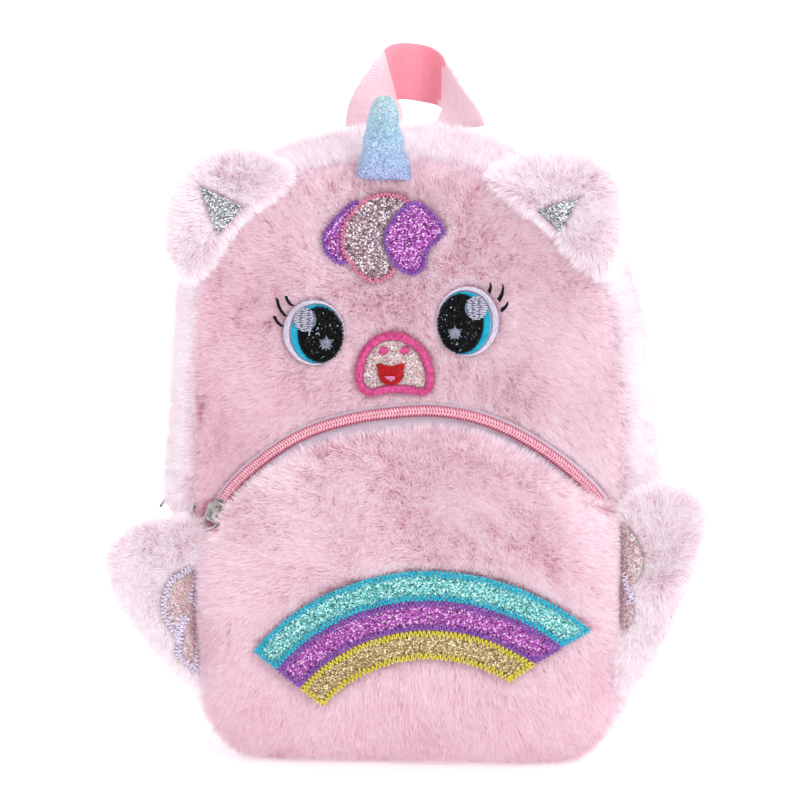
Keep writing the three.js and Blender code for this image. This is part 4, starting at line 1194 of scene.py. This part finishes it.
@dataclass(frozen=True)
class Eye:
    """Embroidered eye: white, teal crescent, glitter pupil, glint, star and lashes."""

    side: str
    turn: int
    lashes: tuple[tuple[tuple[float, float], tuple[float, float]], ...]
    pitch: float = 0.42 * MM
    lash_radius: float = 0.36 * MM
    white: tuple[float, float, float, float] = (0.0, 0.0, 1.0, 1.0)
    iris: tuple[float, float, float, float] = (0.13, -0.05, 0.88, 0.93)
    pupil: tuple[float, float, float, float] = (0.25, -0.07, 0.73, 0.86)

    def span(self, node: str) -> tuple[np.ndarray, np.ndarray]:
        """Middle and half size of a round patch, across and up."""
        low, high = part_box(node)
        middle = np.array([(low.x + high.x) / 2, (low.z + high.z) / 2])
        return middle, np.array([(high.x - low.x) / 2, (high.z - low.z) / 2])

    def oval(self, shape: tuple[float, float, float, float], count: int, start: float = 0.0,
             end: float = 1.0, extra: float = 0.0) -> np.ndarray:
        """Places on an oval of the eye.

        Args:
            shape: its middle and half size, as shares of the eye's half size.
            count: how many places.
            start: first place, as a share of a turn from the top towards the temple.
            end: last place.
            extra: length added to its radius.

        Returns:
            Their x and z.
        """
        middle, half = self.span(f"eye_white_{self.side}")
        angles = math.pi / 2 + self.turn * np.linspace(start, end, count) * 2 * math.pi
        reach = np.stack([np.cos(angles), np.sin(angles)], axis=1)
        centre = middle + np.array([self.turn * shape[0], shape[1]]) * half
        return centre + reach * (half * np.array(shape[2:]) + extra)

    def build(self) -> None:
        """Makes the eye."""
        name = self.side
        for node, finish, slot in (
                (f"eye_white_{name}", WHITE_THREAD, "white_cloth"),
                (f"eye_iris_{name}", TEAL_THREAD, "teal_cloth"),
                (f"eye_pupil_{name}", BLACK_GLITTER, "glitter_black"),
                (f"eye_glint_{name}", SLATE_THREAD, "white_cloth"),
                (f"eye_star_{name}", GREY_THREAD, "grey_thread")):
            Patch(node, finish, slot).build()
        self._rims()
        self._pupil()
        self._glint()
        self._star()
        self._lashes()

    def _rims(self) -> None:
        """Satin white rim and teal crescent."""
        name = self.side
        white, iris = f"eye_white_{name}", f"eye_iris_{name}"
        _, half = self.span(white)
        count = int(2 * math.pi * half.mean() / self.pitch)
        front = surface_y([white])
        inner = laid(self.oval(self.iris, count + 1, extra=0.3 * MM)[:-1], front, 0.15 * MM)
        outer = laid(self.oval(self.white, count + 1, extra=-0.6 * MM)[:-1], front)
        outer[:, [0, 2]] = self.oval(self.white, count + 1, extra=0.4 * MM)[:-1]
        outer[:, 1] += 0.25 * MM
        dress(satin(f"eye_rim_{name}", outer, inner, WHITE_THREAD, rise=0.4 * MM), "white_cloth")
        teal = surface_y([iris, white])
        count = int(0.68 * 2 * math.pi * half.mean() / self.pitch)
        edge = laid(self.oval(self.iris, count, -0.08, 0.6), teal, 0.1 * MM)
        crescent = laid(self.oval(self.pupil, count, -0.08, 0.6, -0.1 * MM), teal, 0.2 * MM)
        dress(satin(f"eye_crescent_{name}", edge, crescent, TEAL_THREAD), "teal_cloth")

    def _pupil(self) -> None:
        """Black threads over the pupil, with a ragged edge."""
        rng = np.random.default_rng(17 + self.turn)
        black = surface_y([f"eye_pupil_{self.side}", f"eye_white_{self.side}"])
        count = 150
        starts = laid(self.oval(self.pupil, count + 1, extra=-0.9 * MM)[:-1], black)
        reach = self.oval(self.pupil, count + 1, extra=0.45 * MM)[:-1]
        reach = reach + rng.normal(size=(count, 2)) * 0.2 * MM
        ends = np.stack([reach[:, 0], starts[:, 1], reach[:, 1]], axis=1)
        dress(satin(
            f"eye_pupil_edge_{self.side}", starts, ends, BLACK_THREAD, radius=0.22 * MM), "glitter_black")
        middle, half = self.span(f"eye_pupil_{self.side}")
        turns = rng.uniform(0, 2 * math.pi, 260)
        places = middle + np.stack([np.cos(turns), np.sin(turns)], axis=1) * half * np.sqrt(
            rng.uniform(0, 0.72, (260, 1)))
        lean = rng.uniform(0, math.pi, 260)
        reach = np.stack([np.cos(lean), np.sin(lean)], axis=1) * 0.9 * MM
        dress(satin(
            f"eye_pupil_threads_{self.side}", laid(places - reach, black), laid(places + reach, black),
            BLACK_THREAD, lift=0.02 * MM, radius=0.16 * MM, rise=0.2 * MM), "glitter_black")

    def _glint(self) -> None:
        """White glint in level, wavy rows of thread, with dark gaps between them."""
        node = f"eye_glint_{self.side}"
        rng = np.random.default_rng(29 + self.turn)
        middle, half = self.span(node)
        front = surface_y([node])
        starts, ends = [], []
        for up in np.linspace(-0.94, 0.94, 13):
            wide = math.sqrt(1 - up * up) * 1.04
            cuts = np.array([-wide, -wide / 3, wide / 3, wide]) + [0, *rng.normal(size=2) * 0.08, 0]
            for low, high in zip(cuts[:-1], cuts[1:]):
                tilt = rng.normal() * 0.05
                starts.append(middle + np.array([low, up - tilt]) * half)
                ends.append(middle + np.array([high, up + tilt]) * half)
        dress(satin(
            f"eye_glint_rows_{self.side}", laid(np.array(starts), front), laid(np.array(ends), front),
            WHITE_THREAD, radius=0.27 * MM, uneven=0.1 * MM), "white_cloth")

    def _star(self) -> None:
        """Grey star of threads from its middle."""
        node = f"eye_star_{self.side}"
        middle, half = self.span(node)
        front = surface_y([node, f"eye_pupil_{self.side}"])
        angles = np.arange(36) * 2 * math.pi / 36
        reach = np.where(np.arange(36) % 6 == 0, 1.25, np.where(np.arange(36) % 6 == 3, 0.6, 0.85))
        tips = middle + np.stack([np.sin(angles), np.cos(angles)], axis=1) * half * reach[:, None]
        starts = laid(np.tile(middle, (36, 1)), front, 0.15 * MM)
        ends = laid(tips, front, 0.1 * MM)
        dress(satin(f"eye_star_rows_{self.side}", starts, ends, GREY_THREAD, radius=0.2 * MM), "grey_thread")

    def _lashes(self) -> None:
        """Black lashes, each a row of slanting stitches that narrows to its end."""
        middle, half = self.span(f"eye_white_{self.side}")
        front = surface_y(["front_panel"])
        starts, ends = [], []
        for inner, outer in self.lashes:
            a = middle + np.array(inner) * half[0]
            b = middle + np.array(outer) * half[0]
            run = np.linalg.norm(b - a)
            along = (b - a) / run
            side = np.array([-along[1], along[0]])
            for t in np.arange(0, 1.001, 0.55 * MM / run):
                at = a + (b - a) * t + side * math.sin(math.pi * t) * run * 0.1 * self.turn
                wide = (0.84 - 0.36 * t) * MM
                starts.append(at - side * wide - along * 0.7 * MM)
                ends.append(at + side * wide + along * 0.7 * MM)
        lift = 1.6 * MM
        dress(satin(
            f"eye_lashes_{self.side}", laid(np.array(starts), front, lift), laid(np.array(ends), front, lift),
            BLACK_THREAD, radius=self.lash_radius, uneven=0.15 * MM), "glitter_black")


@dataclass(frozen=True)
class Muzzle:
    """Muzzle patch with a padded satin rim, nostrils and an open mouth."""

    pitch: float = 0.4 * MM
    nostrils: tuple[tuple[float, float], ...] = ((-9.1 * MM, 181.5 * MM), (-0.1 * MM, 181.9 * MM))
    nostril_size: float = 2.0 * MM
    mouth: tuple[tuple[float, float], ...] = (
        (-5.9, 0.3), (-4.6, 0.1), (-2.8, -0.3), (0.0, -0.7), (2.8, -0.5), (4.6, -0.7), (5.9, -0.6),
        (6.0, -3.2), (5.6, -5.2), (4.4, -7.0), (2.6, -8.1), (0.1, -8.5), (-2.5, -8.2), (-4.3, -7.2),
        (-5.4, -5.4), (-5.9, -3.2))
    tongue: tuple[tuple[float, float], ...] = (
        (-2.8, -4.6), (-1.2, -4.4), (0.4, -4.4), (2.2, -4.6), (1.6, -5.9), (0.2, -6.7), (-1.4, -6.2))

    def build(self) -> None:
        """Makes the muzzle."""
        Patch("muzzle_patch", PALE_GLITTER, "glitter_pale").build()
        Patch("muzzle_rim", PINK_THREAD, "pink_thread").build()
        Patch("mouth", RED_THREAD, "red_thread").build()
        self._rim()
        self._mouth()
        self._nostrils()

    def _rim(self) -> None:
        """Satin threads across the rim."""
        line = loop_of("muzzle_patch")
        places, left = walk(line, self.pitch)
        front = surface_y(["muzzle_rim", "muzzle_patch"])
        inner = places + left * 0.25 * MM
        outer = places - left * 3.7 * MM
        inner = laid(inner[:, [0, 2]], front, 0.1 * MM)
        outer = laid(outer[:, [0, 2]], surface_y(["muzzle_rim", "front_panel"]), 0.2 * MM)
        outer[:, 1] = inner[:, 1] + 0.1 * MM
        dress(satin("muzzle_rim_rows", inner, outer, PINK_THREAD, radius=0.27 * MM, rise=1.0 * MM),
              "pink_thread")

    def _mouth(self) -> None:
        """Mouth in level rows of red thread, tongue in pink."""
        low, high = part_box("mouth")
        front = surface_y(["mouth", "muzzle_patch"])
        corner = np.array([(low.x + high.x) / 2, high.z - 0.6 * MM])
        for node, thread, slot, gap, shape in (
                ("mouth", RED_THREAD, "red_thread", 0.46 * MM, self.mouth),
                ("tongue", TONGUE_THREAD, "pink_thread", 0.42 * MM, self.tongue)):
            off = 0.8 * MM if node == "tongue" else 0.35 * MM
            line = corner + np.array(shape) * MM
            rows = []
            for z in np.arange(line[:, 1].min() + gap / 2, line[:, 1].max(), gap):
                turned = np.roll(line, -1, axis=0)
                cross = (line[:, 1] - z) * (turned[:, 1] - z) < 0
                share = (z - line[cross, 1]) / (turned[cross, 1] - line[cross, 1])
                hits = np.sort(line[cross, 0] + share * (turned[cross, 0] - line[cross, 0]))
                rows += [(hits[k], hits[k + 1], z) for k in range(0, len(hits) - 1, 2)]
            halves = [(mixed, z) for low, high, z in rows for mixed in (
                (low, low + (high - low) * 0.58), (low + (high - low) * 0.42, high))]
            starts = np.array([[a, front(a, z) - off, z] for (a, b), z in halves])
            ends = np.array([[b, front(b, z) - off, z] for (a, b), z in halves])
            rows = satin(f"{node}_rows", starts, ends, thread, uneven=0.3 * MM, radius=0.29 * MM)
            dress(rows, slot, *(["tongue"] if node == "tongue" else []))

    def _nostrils(self) -> None:
        """Two round satin nostrils."""
        front = surface_y(["muzzle_patch"])
        starts, ends = [], []
        for x, z in self.nostrils:
            for share in np.arange(-0.95, 0.96, 0.19):
                half = self.nostril_size * math.sqrt(1 - share * share)
                level = front(x, z)
                starts.append([x + share * self.nostril_size - 0.3 * MM, level, z - half])
                ends.append([x + share * self.nostril_size + 0.3 * MM, level, z + half])
        dress(satin("nostrils", np.array(starts), np.array(ends), PINK_THREAD), "pink_thread")


@dataclass(frozen=True)
class Edging:
    """Glitter patch whose edge is held by a zigzag row."""

    node: str
    finish: Glitter
    slot: str
    thread: Thread
    thread_slot: str
    pitch: float = 0.95 * MM
    inside: float = 2.7 * MM
    outside: float = 0.8 * MM
    seed: int = 1

    def build(self) -> None:
        """Makes the patch and its row."""
        Patch(self.node, self.finish, self.slot).build()
        row = zigzag(
            f"{self.node}_row", loop_of(self.node), self.inside, self.outside, self.pitch, self.thread,
            seed=self.seed)
        dress(row, self.thread_slot)


def flat_groups(bm: bmesh.types.BMesh) -> list[set[bmesh.types.BMVert]]:
    """Vertices of each group of faces that lie in one plane, from the lowest x up."""
    seen: set[int] = set()
    groups = []
    for face in bm.faces:
        if face.index in seen:
            continue
        group, queue = set(), [face]
        seen.add(face.index)
        while queue:
            current = queue.pop()
            group |= set(current.verts)
            for edge in current.edges:
                for other in edge.link_faces:
                    if other.index not in seen and other.normal.angle(face.normal, 1.0) < 0.01:
                        seen.add(other.index)
                        queue.append(other)
        groups.append(group)
    return sorted(groups, key=lambda group: math.fsum(v.co.x for v in group) / len(group))


def in_order(verts: Iterable[bmesh.types.BMVert]) -> list[bmesh.types.BMVert]:
    """Vertices by their number, so that each run treats them in one order."""
    return sorted(verts, key=lambda vert: vert.index)


def rings_of(bm: bmesh.types.BMesh, sides: int) -> list[list[bmesh.types.BMVert]]:
    """Sections of a solid that was lofted along a path, from the end at the lowest x.

    Args:
        bm: the merged mesh.
        sides: vertices of a section.

    Returns:
        The vertices of each section.

    Raises:
        ValueError: where the solid has no such sections.
    """
    for group in flat_groups(bm):
        if len(group) != sides:
            continue
        rings, used = [in_order(group)], set(group)
        while True:
            ahead = {e.other_vert(v) for v in rings[-1] for e in v.link_edges} - used
            if not ahead:
                break
            used |= ahead
            rings.append(in_order(ahead))
        if all(len(ring) == sides for ring in rings):
            return rings
    raise ValueError(f"no sections of {sides} vertices")


def left_first(rings: list[list[bmesh.types.BMVert]]) -> list[list[bmesh.types.BMVert]]:
    """The rings in the order that starts at the bag's left as seen from the front."""
    return rings if rings[0][0].co.x < rings[-1][0].co.x else rings[::-1]


def path_of(rings: Sequence[Sequence[bmesh.types.BMVert]]) -> np.ndarray:
    """Middle of each section."""
    return np.array([np.mean([v.co for v in ring], axis=0) for ring in rings])


@dataclass(frozen=True)
class Zip:
    """Coil zip: woven tape, two rows of interlocked teeth, sewing lines, slider and pull."""

    prefix: str
    body: str
    metal: Metal
    metal_slot: str
    out: tuple[float, float, float] | None
    pitch: float = 1.25 * MM
    tooth: float = 0.54 * MM
    width: float = 3.4 * MM

    def build(self) -> None:
        """Makes the zip."""
        tape = piece_from(
            copy_of(f"{self.prefix}_tape"), f"{self.prefix}_tape_cloth", finished(ZIP_TAPE), sharp=40)
        dress(tape, "zip_tape", f"{self.prefix}_tape")
        self._coil()
        for part, body in (("slider", "bag"), ("pull", self.body)):
            bm = copy_of(f"{self.prefix}_{part}")
            bevelled(bm, 35, 0.16 * MM)
            piece = piece_from(bm, f"{self.prefix}_{part}_metal", finished(self.metal), sharp=40)
            dress(piece, self.metal_slot, f"{self.prefix}_{part}", body=body)

    def _coil(self) -> None:
        """Teeth in two slanting rows, and the line that sews them down."""
        bm = copy_of(f"{self.prefix}_coil")
        path = path_of(left_first(rings_of(bm, 6)))
        bm.free()
        centres = stops_on(path, np.arange(self.pitch / 2, run_of(path)[-1], self.pitch))
        ahead = unit(np.gradient(centres, axis=0))
        if self.out is None:
            out = centres - np.array(HEAD_MIDDLE)
            out[:, 1] = 0
            out = unit(flatten(out, ahead))
        else:
            out = unit(flatten(np.tile(self.out, (len(centres), 1)), ahead))
        across = np.cross(ahead, out)
        rows, ends = [], []
        for sign in (-1, 1):
            base = centres + across * sign * self.width * 0.48 - ahead * self.pitch * 0.35
            nose = centres + across * sign * self.width * 0.04 + ahead * self.pitch * 0.35
            rows.append(base + out * 0.25 * MM)
            ends.append(nose + out * 0.75 * MM)
        teeth = self._beads(np.vstack(rows), np.vstack(ends), np.vstack([out, out]))
        dress(teeth, "zip_coil", f"{self.prefix}_coil")
        core = [centres + across * sign * self.width * 0.27 - out * 0.3 * MM for sign in (-1, 1)]
        starts = np.vstack([line[:-1] for line in core])
        finish = np.vstack([line[1:] for line in core])
        lines = self._beads(starts, finish, np.vstack([out[:-1], out[:-1]]), 1.25 * MM, DEEP_NYLON, "core")
        dress(lines, "zip_coil", f"{self.prefix}_coil")
        row = centres + across * self.width * 0.68 - out * 0.2 * MM
        dashes = self._beads(row[:-1], row[:-1] + (row[1:] - row[:-1]) * 0.62, out[:-1], 0.3 * MM, DEEP_NYLON,
                             "sewing")
        dress(dashes, "zip_coil", f"{self.prefix}_coil")

    def _beads(self, starts: np.ndarray, ends: np.ndarray, out: np.ndarray, radius: float | None = None,
               finish: Moulded = COIL_NYLON, label: str = "teeth") -> bpy.types.Object:
        """Rounded bars from starts to ends."""
        radius = radius or self.tooth
        along = unit(ends - starts)
        side = unit(np.cross(along, out))
        tip = along * radius * 0.5
        shoulders = [starts + (ends - starts) * share for share in (0.06, 0.94)]
        return bars(
            f"{self.prefix}_{label}", [starts - tip, *shoulders, ends + tip], side, np.cross(side, along),
            radius, 6, finished(finish))


@dataclass(frozen=True)
class Webbing:
    """Flat woven strip with a woven chart over it."""

    node: str
    faces: tuple[Woven, Woven] = (PAINTED_LIGHT_WEBBING, PAINTED_SHADE_WEBBING)
    levels: int = 2
    fold: float = 0.0

    def build(self) -> bpy.types.Object:
        """The strip, charted across and along, and smoothed; within the fold it shows its other face, by
        default the painted-shade coral copy of the painted-light outer pink.
        """
        bm = copy_of(self.node)
        rings = left_first(rings_of(bm, 8))
        path = path_of(rings)
        run = run_of(path)
        ahead = unit(np.gradient(path, axis=0))
        place: dict[int, tuple[float, float]] = {}
        middle: dict[int, float] = {}
        upward: dict[int, Vector] = {}
        before = None
        for k, ring in enumerate(rings):
            offsets = np.array([v.co for v in ring]) - path[k]
            side = np.linalg.svd(offsets)[2][0]
            turned = np.cross(ahead[k], side)[1] > 0 if before is None else side @ before < 0
            side = -side if turned else side
            before = side
            up = Vector(np.cross(ahead[k], side))
            for vert, offset in zip(ring, offsets):
                place[vert.index] = (float(offset @ side), float(run[k]))
                middle[vert.index] = float(path[k][0])
                upward[vert.index] = up
        chart = bm.loops.layers.uv.new("weave")
        for face in bm.faces:
            up = sum((upward[v.index] for v in face.verts), Vector())
            turned = abs(sum(middle[v.index] for v in face.verts) / len(face.verts)) < self.fold
            face.material_index = int((face.normal.dot(up) < 0) != turned)
            for loop in face.loops:
                loop[chart].uv = place[loop.vert.index]
        materials = [finished(finish) for finish in self.faces]
        piece = smoothed(piece_from(bm, f"{self.node}_weave", *materials), self.levels)
        return dress(piece, "webbing", self.node)


@dataclass(frozen=True)
class Horn:
    """Stuffed horn of glitter cloth."""

    finish_stops: tuple[tuple[float, str], ...] = (
        (0.0, "#5E7CC0"), (0.3, "#8CB4D8"), (0.5, "#9CE0D0"), (0.7, "#B8B4E4"), (0.9, "#F0F6FF"))
    wobble: float = 0.5 * MM

    def build(self) -> None:
        """The horn, with soft dents."""
        low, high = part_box("horn")
        finish = HornGlitter("horn_glitter", self.finish_stops, shine=0.35, foot=low.z, tip=high.z)
        piece = smoothed(piece_from(copy_of("horn"), "horn_cloth", finished(finish)), 3)
        rows = rows_of(piece.data)
        soft = np.clip((rows[:, 2:] - low.z) / (8 * MM), 0, 1)
        rows = rows + swirl(rows, 11 * MM, 4) * [1, 1, 0.3] * self.wobble * soft
        put_rows(piece.data, rows)
        dress(piece, "glitter_horn", "horn", fill=0.8)


@dataclass(frozen=True)
class Adjuster:
    """Moulded buckle of a strap."""

    node: str

    def build(self) -> None:
        """The buckle with rounded edges."""
        bm = copy_of(self.node)
        bmesh.ops.dissolve_limit(bm, angle_limit=0.01, verts=bm.verts, edges=bm.edges)
        bevelled(bm, 40, 0.5 * MM, 3)
        piece = piece_from(bm, f"{self.node}_nylon", finished(PINK_MOULDING), sharp=40)
        dress(piece, "adjuster", self.node)


LEFT_LASHES = (
    ((-1.055, 0.19), (-1.31, 0.53)), ((-0.94, 0.53), (-1.20, 1.09)), ((-0.71, 0.875), (-0.91, 1.20)))
RIGHT_LASHES = (((0.68, 0.97), (0.73, 1.23)), ((1.0, 0.70), (1.14, 1.17)), ((1.09, 0.36), (1.31, 0.62)))
POCKET_METAL = ("pocket_zip_slider", "pocket_zip_pull")
FACE_TRIM = (
    "eye_white_left", "eye_white_right", "muzzle_patch", "muzzle_rim", "forelock_left", "forelock_middle",
    "forelock_right", "pocket_zip_coil", *POCKET_METAL,
)
POCKET_TRIM = (
    "rainbow_outer", "rainbow_middle", "rainbow_inner", "pocket_zip_coil", "pocket_zip_tape", *POCKET_METAL,
)


class Plush:
    """All the pile of the bag."""

    def build(self) -> None:
        """Makes every piled piece."""
        face = Clearing(FACE_TRIM)
        pocket = Clearing(["pocket_panel"])
        trim = Clearing(POCKET_TRIM)
        wings = Clearing(["wing_patch_left", "wing_patch_right"])
        ears = Clearing(["ear_inner_left", "ear_inner_right"])
        rim = Clearing(["front_panel"])
        metal = Clearing(POCKET_METAL)
        # Painted light and shade: the face pile deepens towards its lower left, as seen from the front, and
        # pales towards its upper right.
        Pile("front_panel", 178000, 11, hub=(0.0, 185 * MM), outward=0.6,
             tone=(-0.61, 0.0036, 0.0033)).build(face, pocket, rim, metal)
        # Painted light and shade: the pocket pile deepens towards the bottom and pales towards the top.
        Pile("pocket_panel", 176000, 12, droop=0.36, wander=0.32, upright=0.5,
             tone=(-0.54, 0.0, 0.0066)).build(trim, metal=metal)
        around = {
            "dye": PALE_PLUSH, "facing": Facing.AROUND, "slot": "fur_pale", "outward": 0.0, "droop": 0.3}
        Pile("gusset_front", 100000, 13, **around).build(rim=rim)
        Pile("gusset_rear", 62000, 14, width=0.55 * MM, **around).build()
        Pile("gusset_base", 50000, 15, width=0.55 * MM, **around).build()
        Pile("back_panel", 76000, 16, facing=Facing.REAR, width=0.75 * MM).build()
        pillow = {"dye": PALE_PLUSH, "facing": Facing.ALL, "sink": 2.4 * MM, "sink_share": 0.3, "fill": 0.7,
                  "outward": 0.9}
        for side, seed in (("left", 17), ("right", 18)):
            Pile(f"wing_{side}", 42000, seed, fit=0.98, **pillow).build(wings)
            Pile(f"ear_{side}", 30000, seed + 2, fit=0.96, droop=0.0, **pillow).build(ears)
            Pile(f"strap_{side}", 25000, seed + 4, facing=Facing.REAR, sink=2.5 * MM, sink_share=0.4,
                 fill=0.6, width=0.6 * MM).build()


class Trim:
    """Everything that is sewn to the pile or carries the bag."""

    def build(self) -> None:
        """Makes the patches, zips, horn, loop and straps."""
        Eye("left", 1, LEFT_LASHES).build()
        Eye("right", -1, RIGHT_LASHES).build()
        Muzzle().build()
        for seed, (part, finish, slot, thread, thread_slot) in enumerate((
                ("outer", TEAL_GLITTER, "glitter_teal", CYAN_THREAD, "teal_cloth"),
                ("middle", VIOLET_GLITTER, "glitter_violet", PURPLE_THREAD, "glitter_violet"),
                ("inner", GOLD_GLITTER, "glitter_gold", YELLOW_THREAD, "glitter_gold"))):
            Edging(f"rainbow_{part}", finish, slot, thread, thread_slot, seed=seed).build()
        small = {"pitch": 0.85 * MM, "inside": 1.8 * MM, "outside": 0.7 * MM}
        violet = (VIOLET_GLITTER, "glitter_violet", PURPLE_THREAD, "glitter_violet")
        dusty = (DUSTY_GLITTER, "glitter_dusty", ROSE_THREAD, "pink_thread")
        for part, look in (("left", violet), ("middle", dusty), ("right", violet)):
            Edging(f"forelock_{part}", *look, **small).build()
        for side in ("left", "right"):
            Edging(f"wing_patch_{side}", PALE_GLITTER, "glitter_pale", LILAC_THREAD, "white_cloth",
                   pitch=0.9 * MM, inside=2.6 * MM, outside=0.9 * MM).build()
            Patch(f"ear_inner_{side}", SILVER_GLITTER, "glitter_silver").build()
            Webbing(f"strap_webbing_{side}", (STRAP_WEBBING, STRAP_WEBBING)).build()
            Adjuster(f"adjuster_{side}").build()
        Zip("pocket_zip", "pocket_pull", NICKEL, "metal", (0, -1, 0)).build()
        Zip("main_zip", "main_pull", GUNMETAL, "dark_metal", None).build()
        Horn().build()
        Webbing("carry_handle", fold=11.5 * MM).build()


@dataclass(frozen=True)
class Studio:
    """White sweep, soft lights and the camera at the photograph's angle."""

    azimuth: float = 4.0
    elevation: float = 8.0
    lens: float = 120.0
    distance: float = 1.147
    target: tuple[float, float, float] = (-3.5 * MM, -30 * MM, 158 * MM)

    def build(self) -> None:
        """Sets the camera, lights and sweep."""
        self._camera()
        self._sweep()
        self._world()
        self._lamp("key", (0.75, -1.05, 1.0), 0.7, 10.0)
        self._lamp("fill", (-1.1, -0.8, 0.5), 0.9, 0.9)
        self._lamp("top", (0.0, 0.15, 1.3), 0.9, 4.0)
        self._lamp("left_edge", (-1.1, 0.35, 0.4), 0.8, 2.6)
        self._lamp("right_edge", (1.1, 0.35, 0.4), 0.8, 2.6)

    def _camera(self) -> None:
        """Camera that looks at the bag from slightly right and above."""
        camera = bpy.data.cameras.new("camera")
        camera.lens = self.lens
        camera.sensor_width = 36.0
        camera.clip_end = 50.0
        holder = bpy.data.objects.new("camera", camera)
        a, e = math.radians(self.azimuth), math.radians(self.elevation)
        back = Vector((math.sin(a) * math.cos(e), -math.cos(a) * math.cos(e), math.sin(e)))
        holder.location = Vector(self.target) + back * self.distance
        holder.rotation_euler = back.to_track_quat("Z", "Y").to_euler()
        bpy.context.scene.collection.objects.link(holder)
        bpy.context.scene.camera = holder

    def _sweep(self) -> None:
        """White floor that curves up into a wall behind."""
        line = [(-3.0, 0.0), (0.9, 0.0)]
        line += [(0.9 + math.sin(a) * 0.8, 0.8 - math.cos(a) * 0.8)
                 for a in np.linspace(0.1, math.pi / 2, 12)]
        line.append((1.7, 4.0))
        bm = bmesh.new()
        rows = [[bm.verts.new((x, y, z)) for x in (-4.0, 4.0)] for y, z in line]
        for (a, b), (c, d) in zip(rows[:-1], rows[1:]):
            bm.faces.new((a, b, d, c))
        graph = Graph("white_sweep")
        tone = graph.noise(graph.place(), 0.5)
        material = graph.finish(
            Base_Color=graph.ramp(tone, (0.2, "#F4F3F4"), (0.8, "#F8F7F8")), Roughness=0.9,
            Emission_Color=colour("#FFFFFF"), Emission_Strength=0.36)
        piece_from(bm, "sweep", material)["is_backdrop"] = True

    def _world(self) -> None:
        """Even white light from all round."""
        world = bpy.data.worlds.new("studio")
        world.use_nodes = True
        background = world.node_tree.nodes["Background"]
        background.inputs["Color"].default_value = colour("#FFFFFF")
        background.inputs["Strength"].default_value = 0.6
        bpy.context.scene.world = world
        bpy.context.scene.view_settings.view_transform = "Standard"

    def _lamp(self, name: str, place: tuple[float, float, float], size: float, power: float) -> None:
        """Soft square lamp that faces the bag."""
        light = bpy.data.lights.new(name, "AREA")
        light.size = size
        light.energy = power
        lamp = bpy.data.objects.new(name, light)
        lamp.location = place
        lamp.rotation_euler = (Vector(place) - Vector((0, 0, 0.13))).to_track_quat("Z", "Y").to_euler()
        bpy.context.scene.collection.objects.link(lamp)


def corners(bounds: tuple) -> list[list[float]]:
    """A box as plain lists of numbers."""
    return [[float(n) for n in corner] for corner in bounds]


def main() -> None:
    """Builds the bag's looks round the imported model."""
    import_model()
    solid_box = corners(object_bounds())
    Studio().build()
    Trim().build()
    Plush().build()
    {"solids": solid_box, "visual": corners(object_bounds())}


if __name__ == "__main__":
    main()
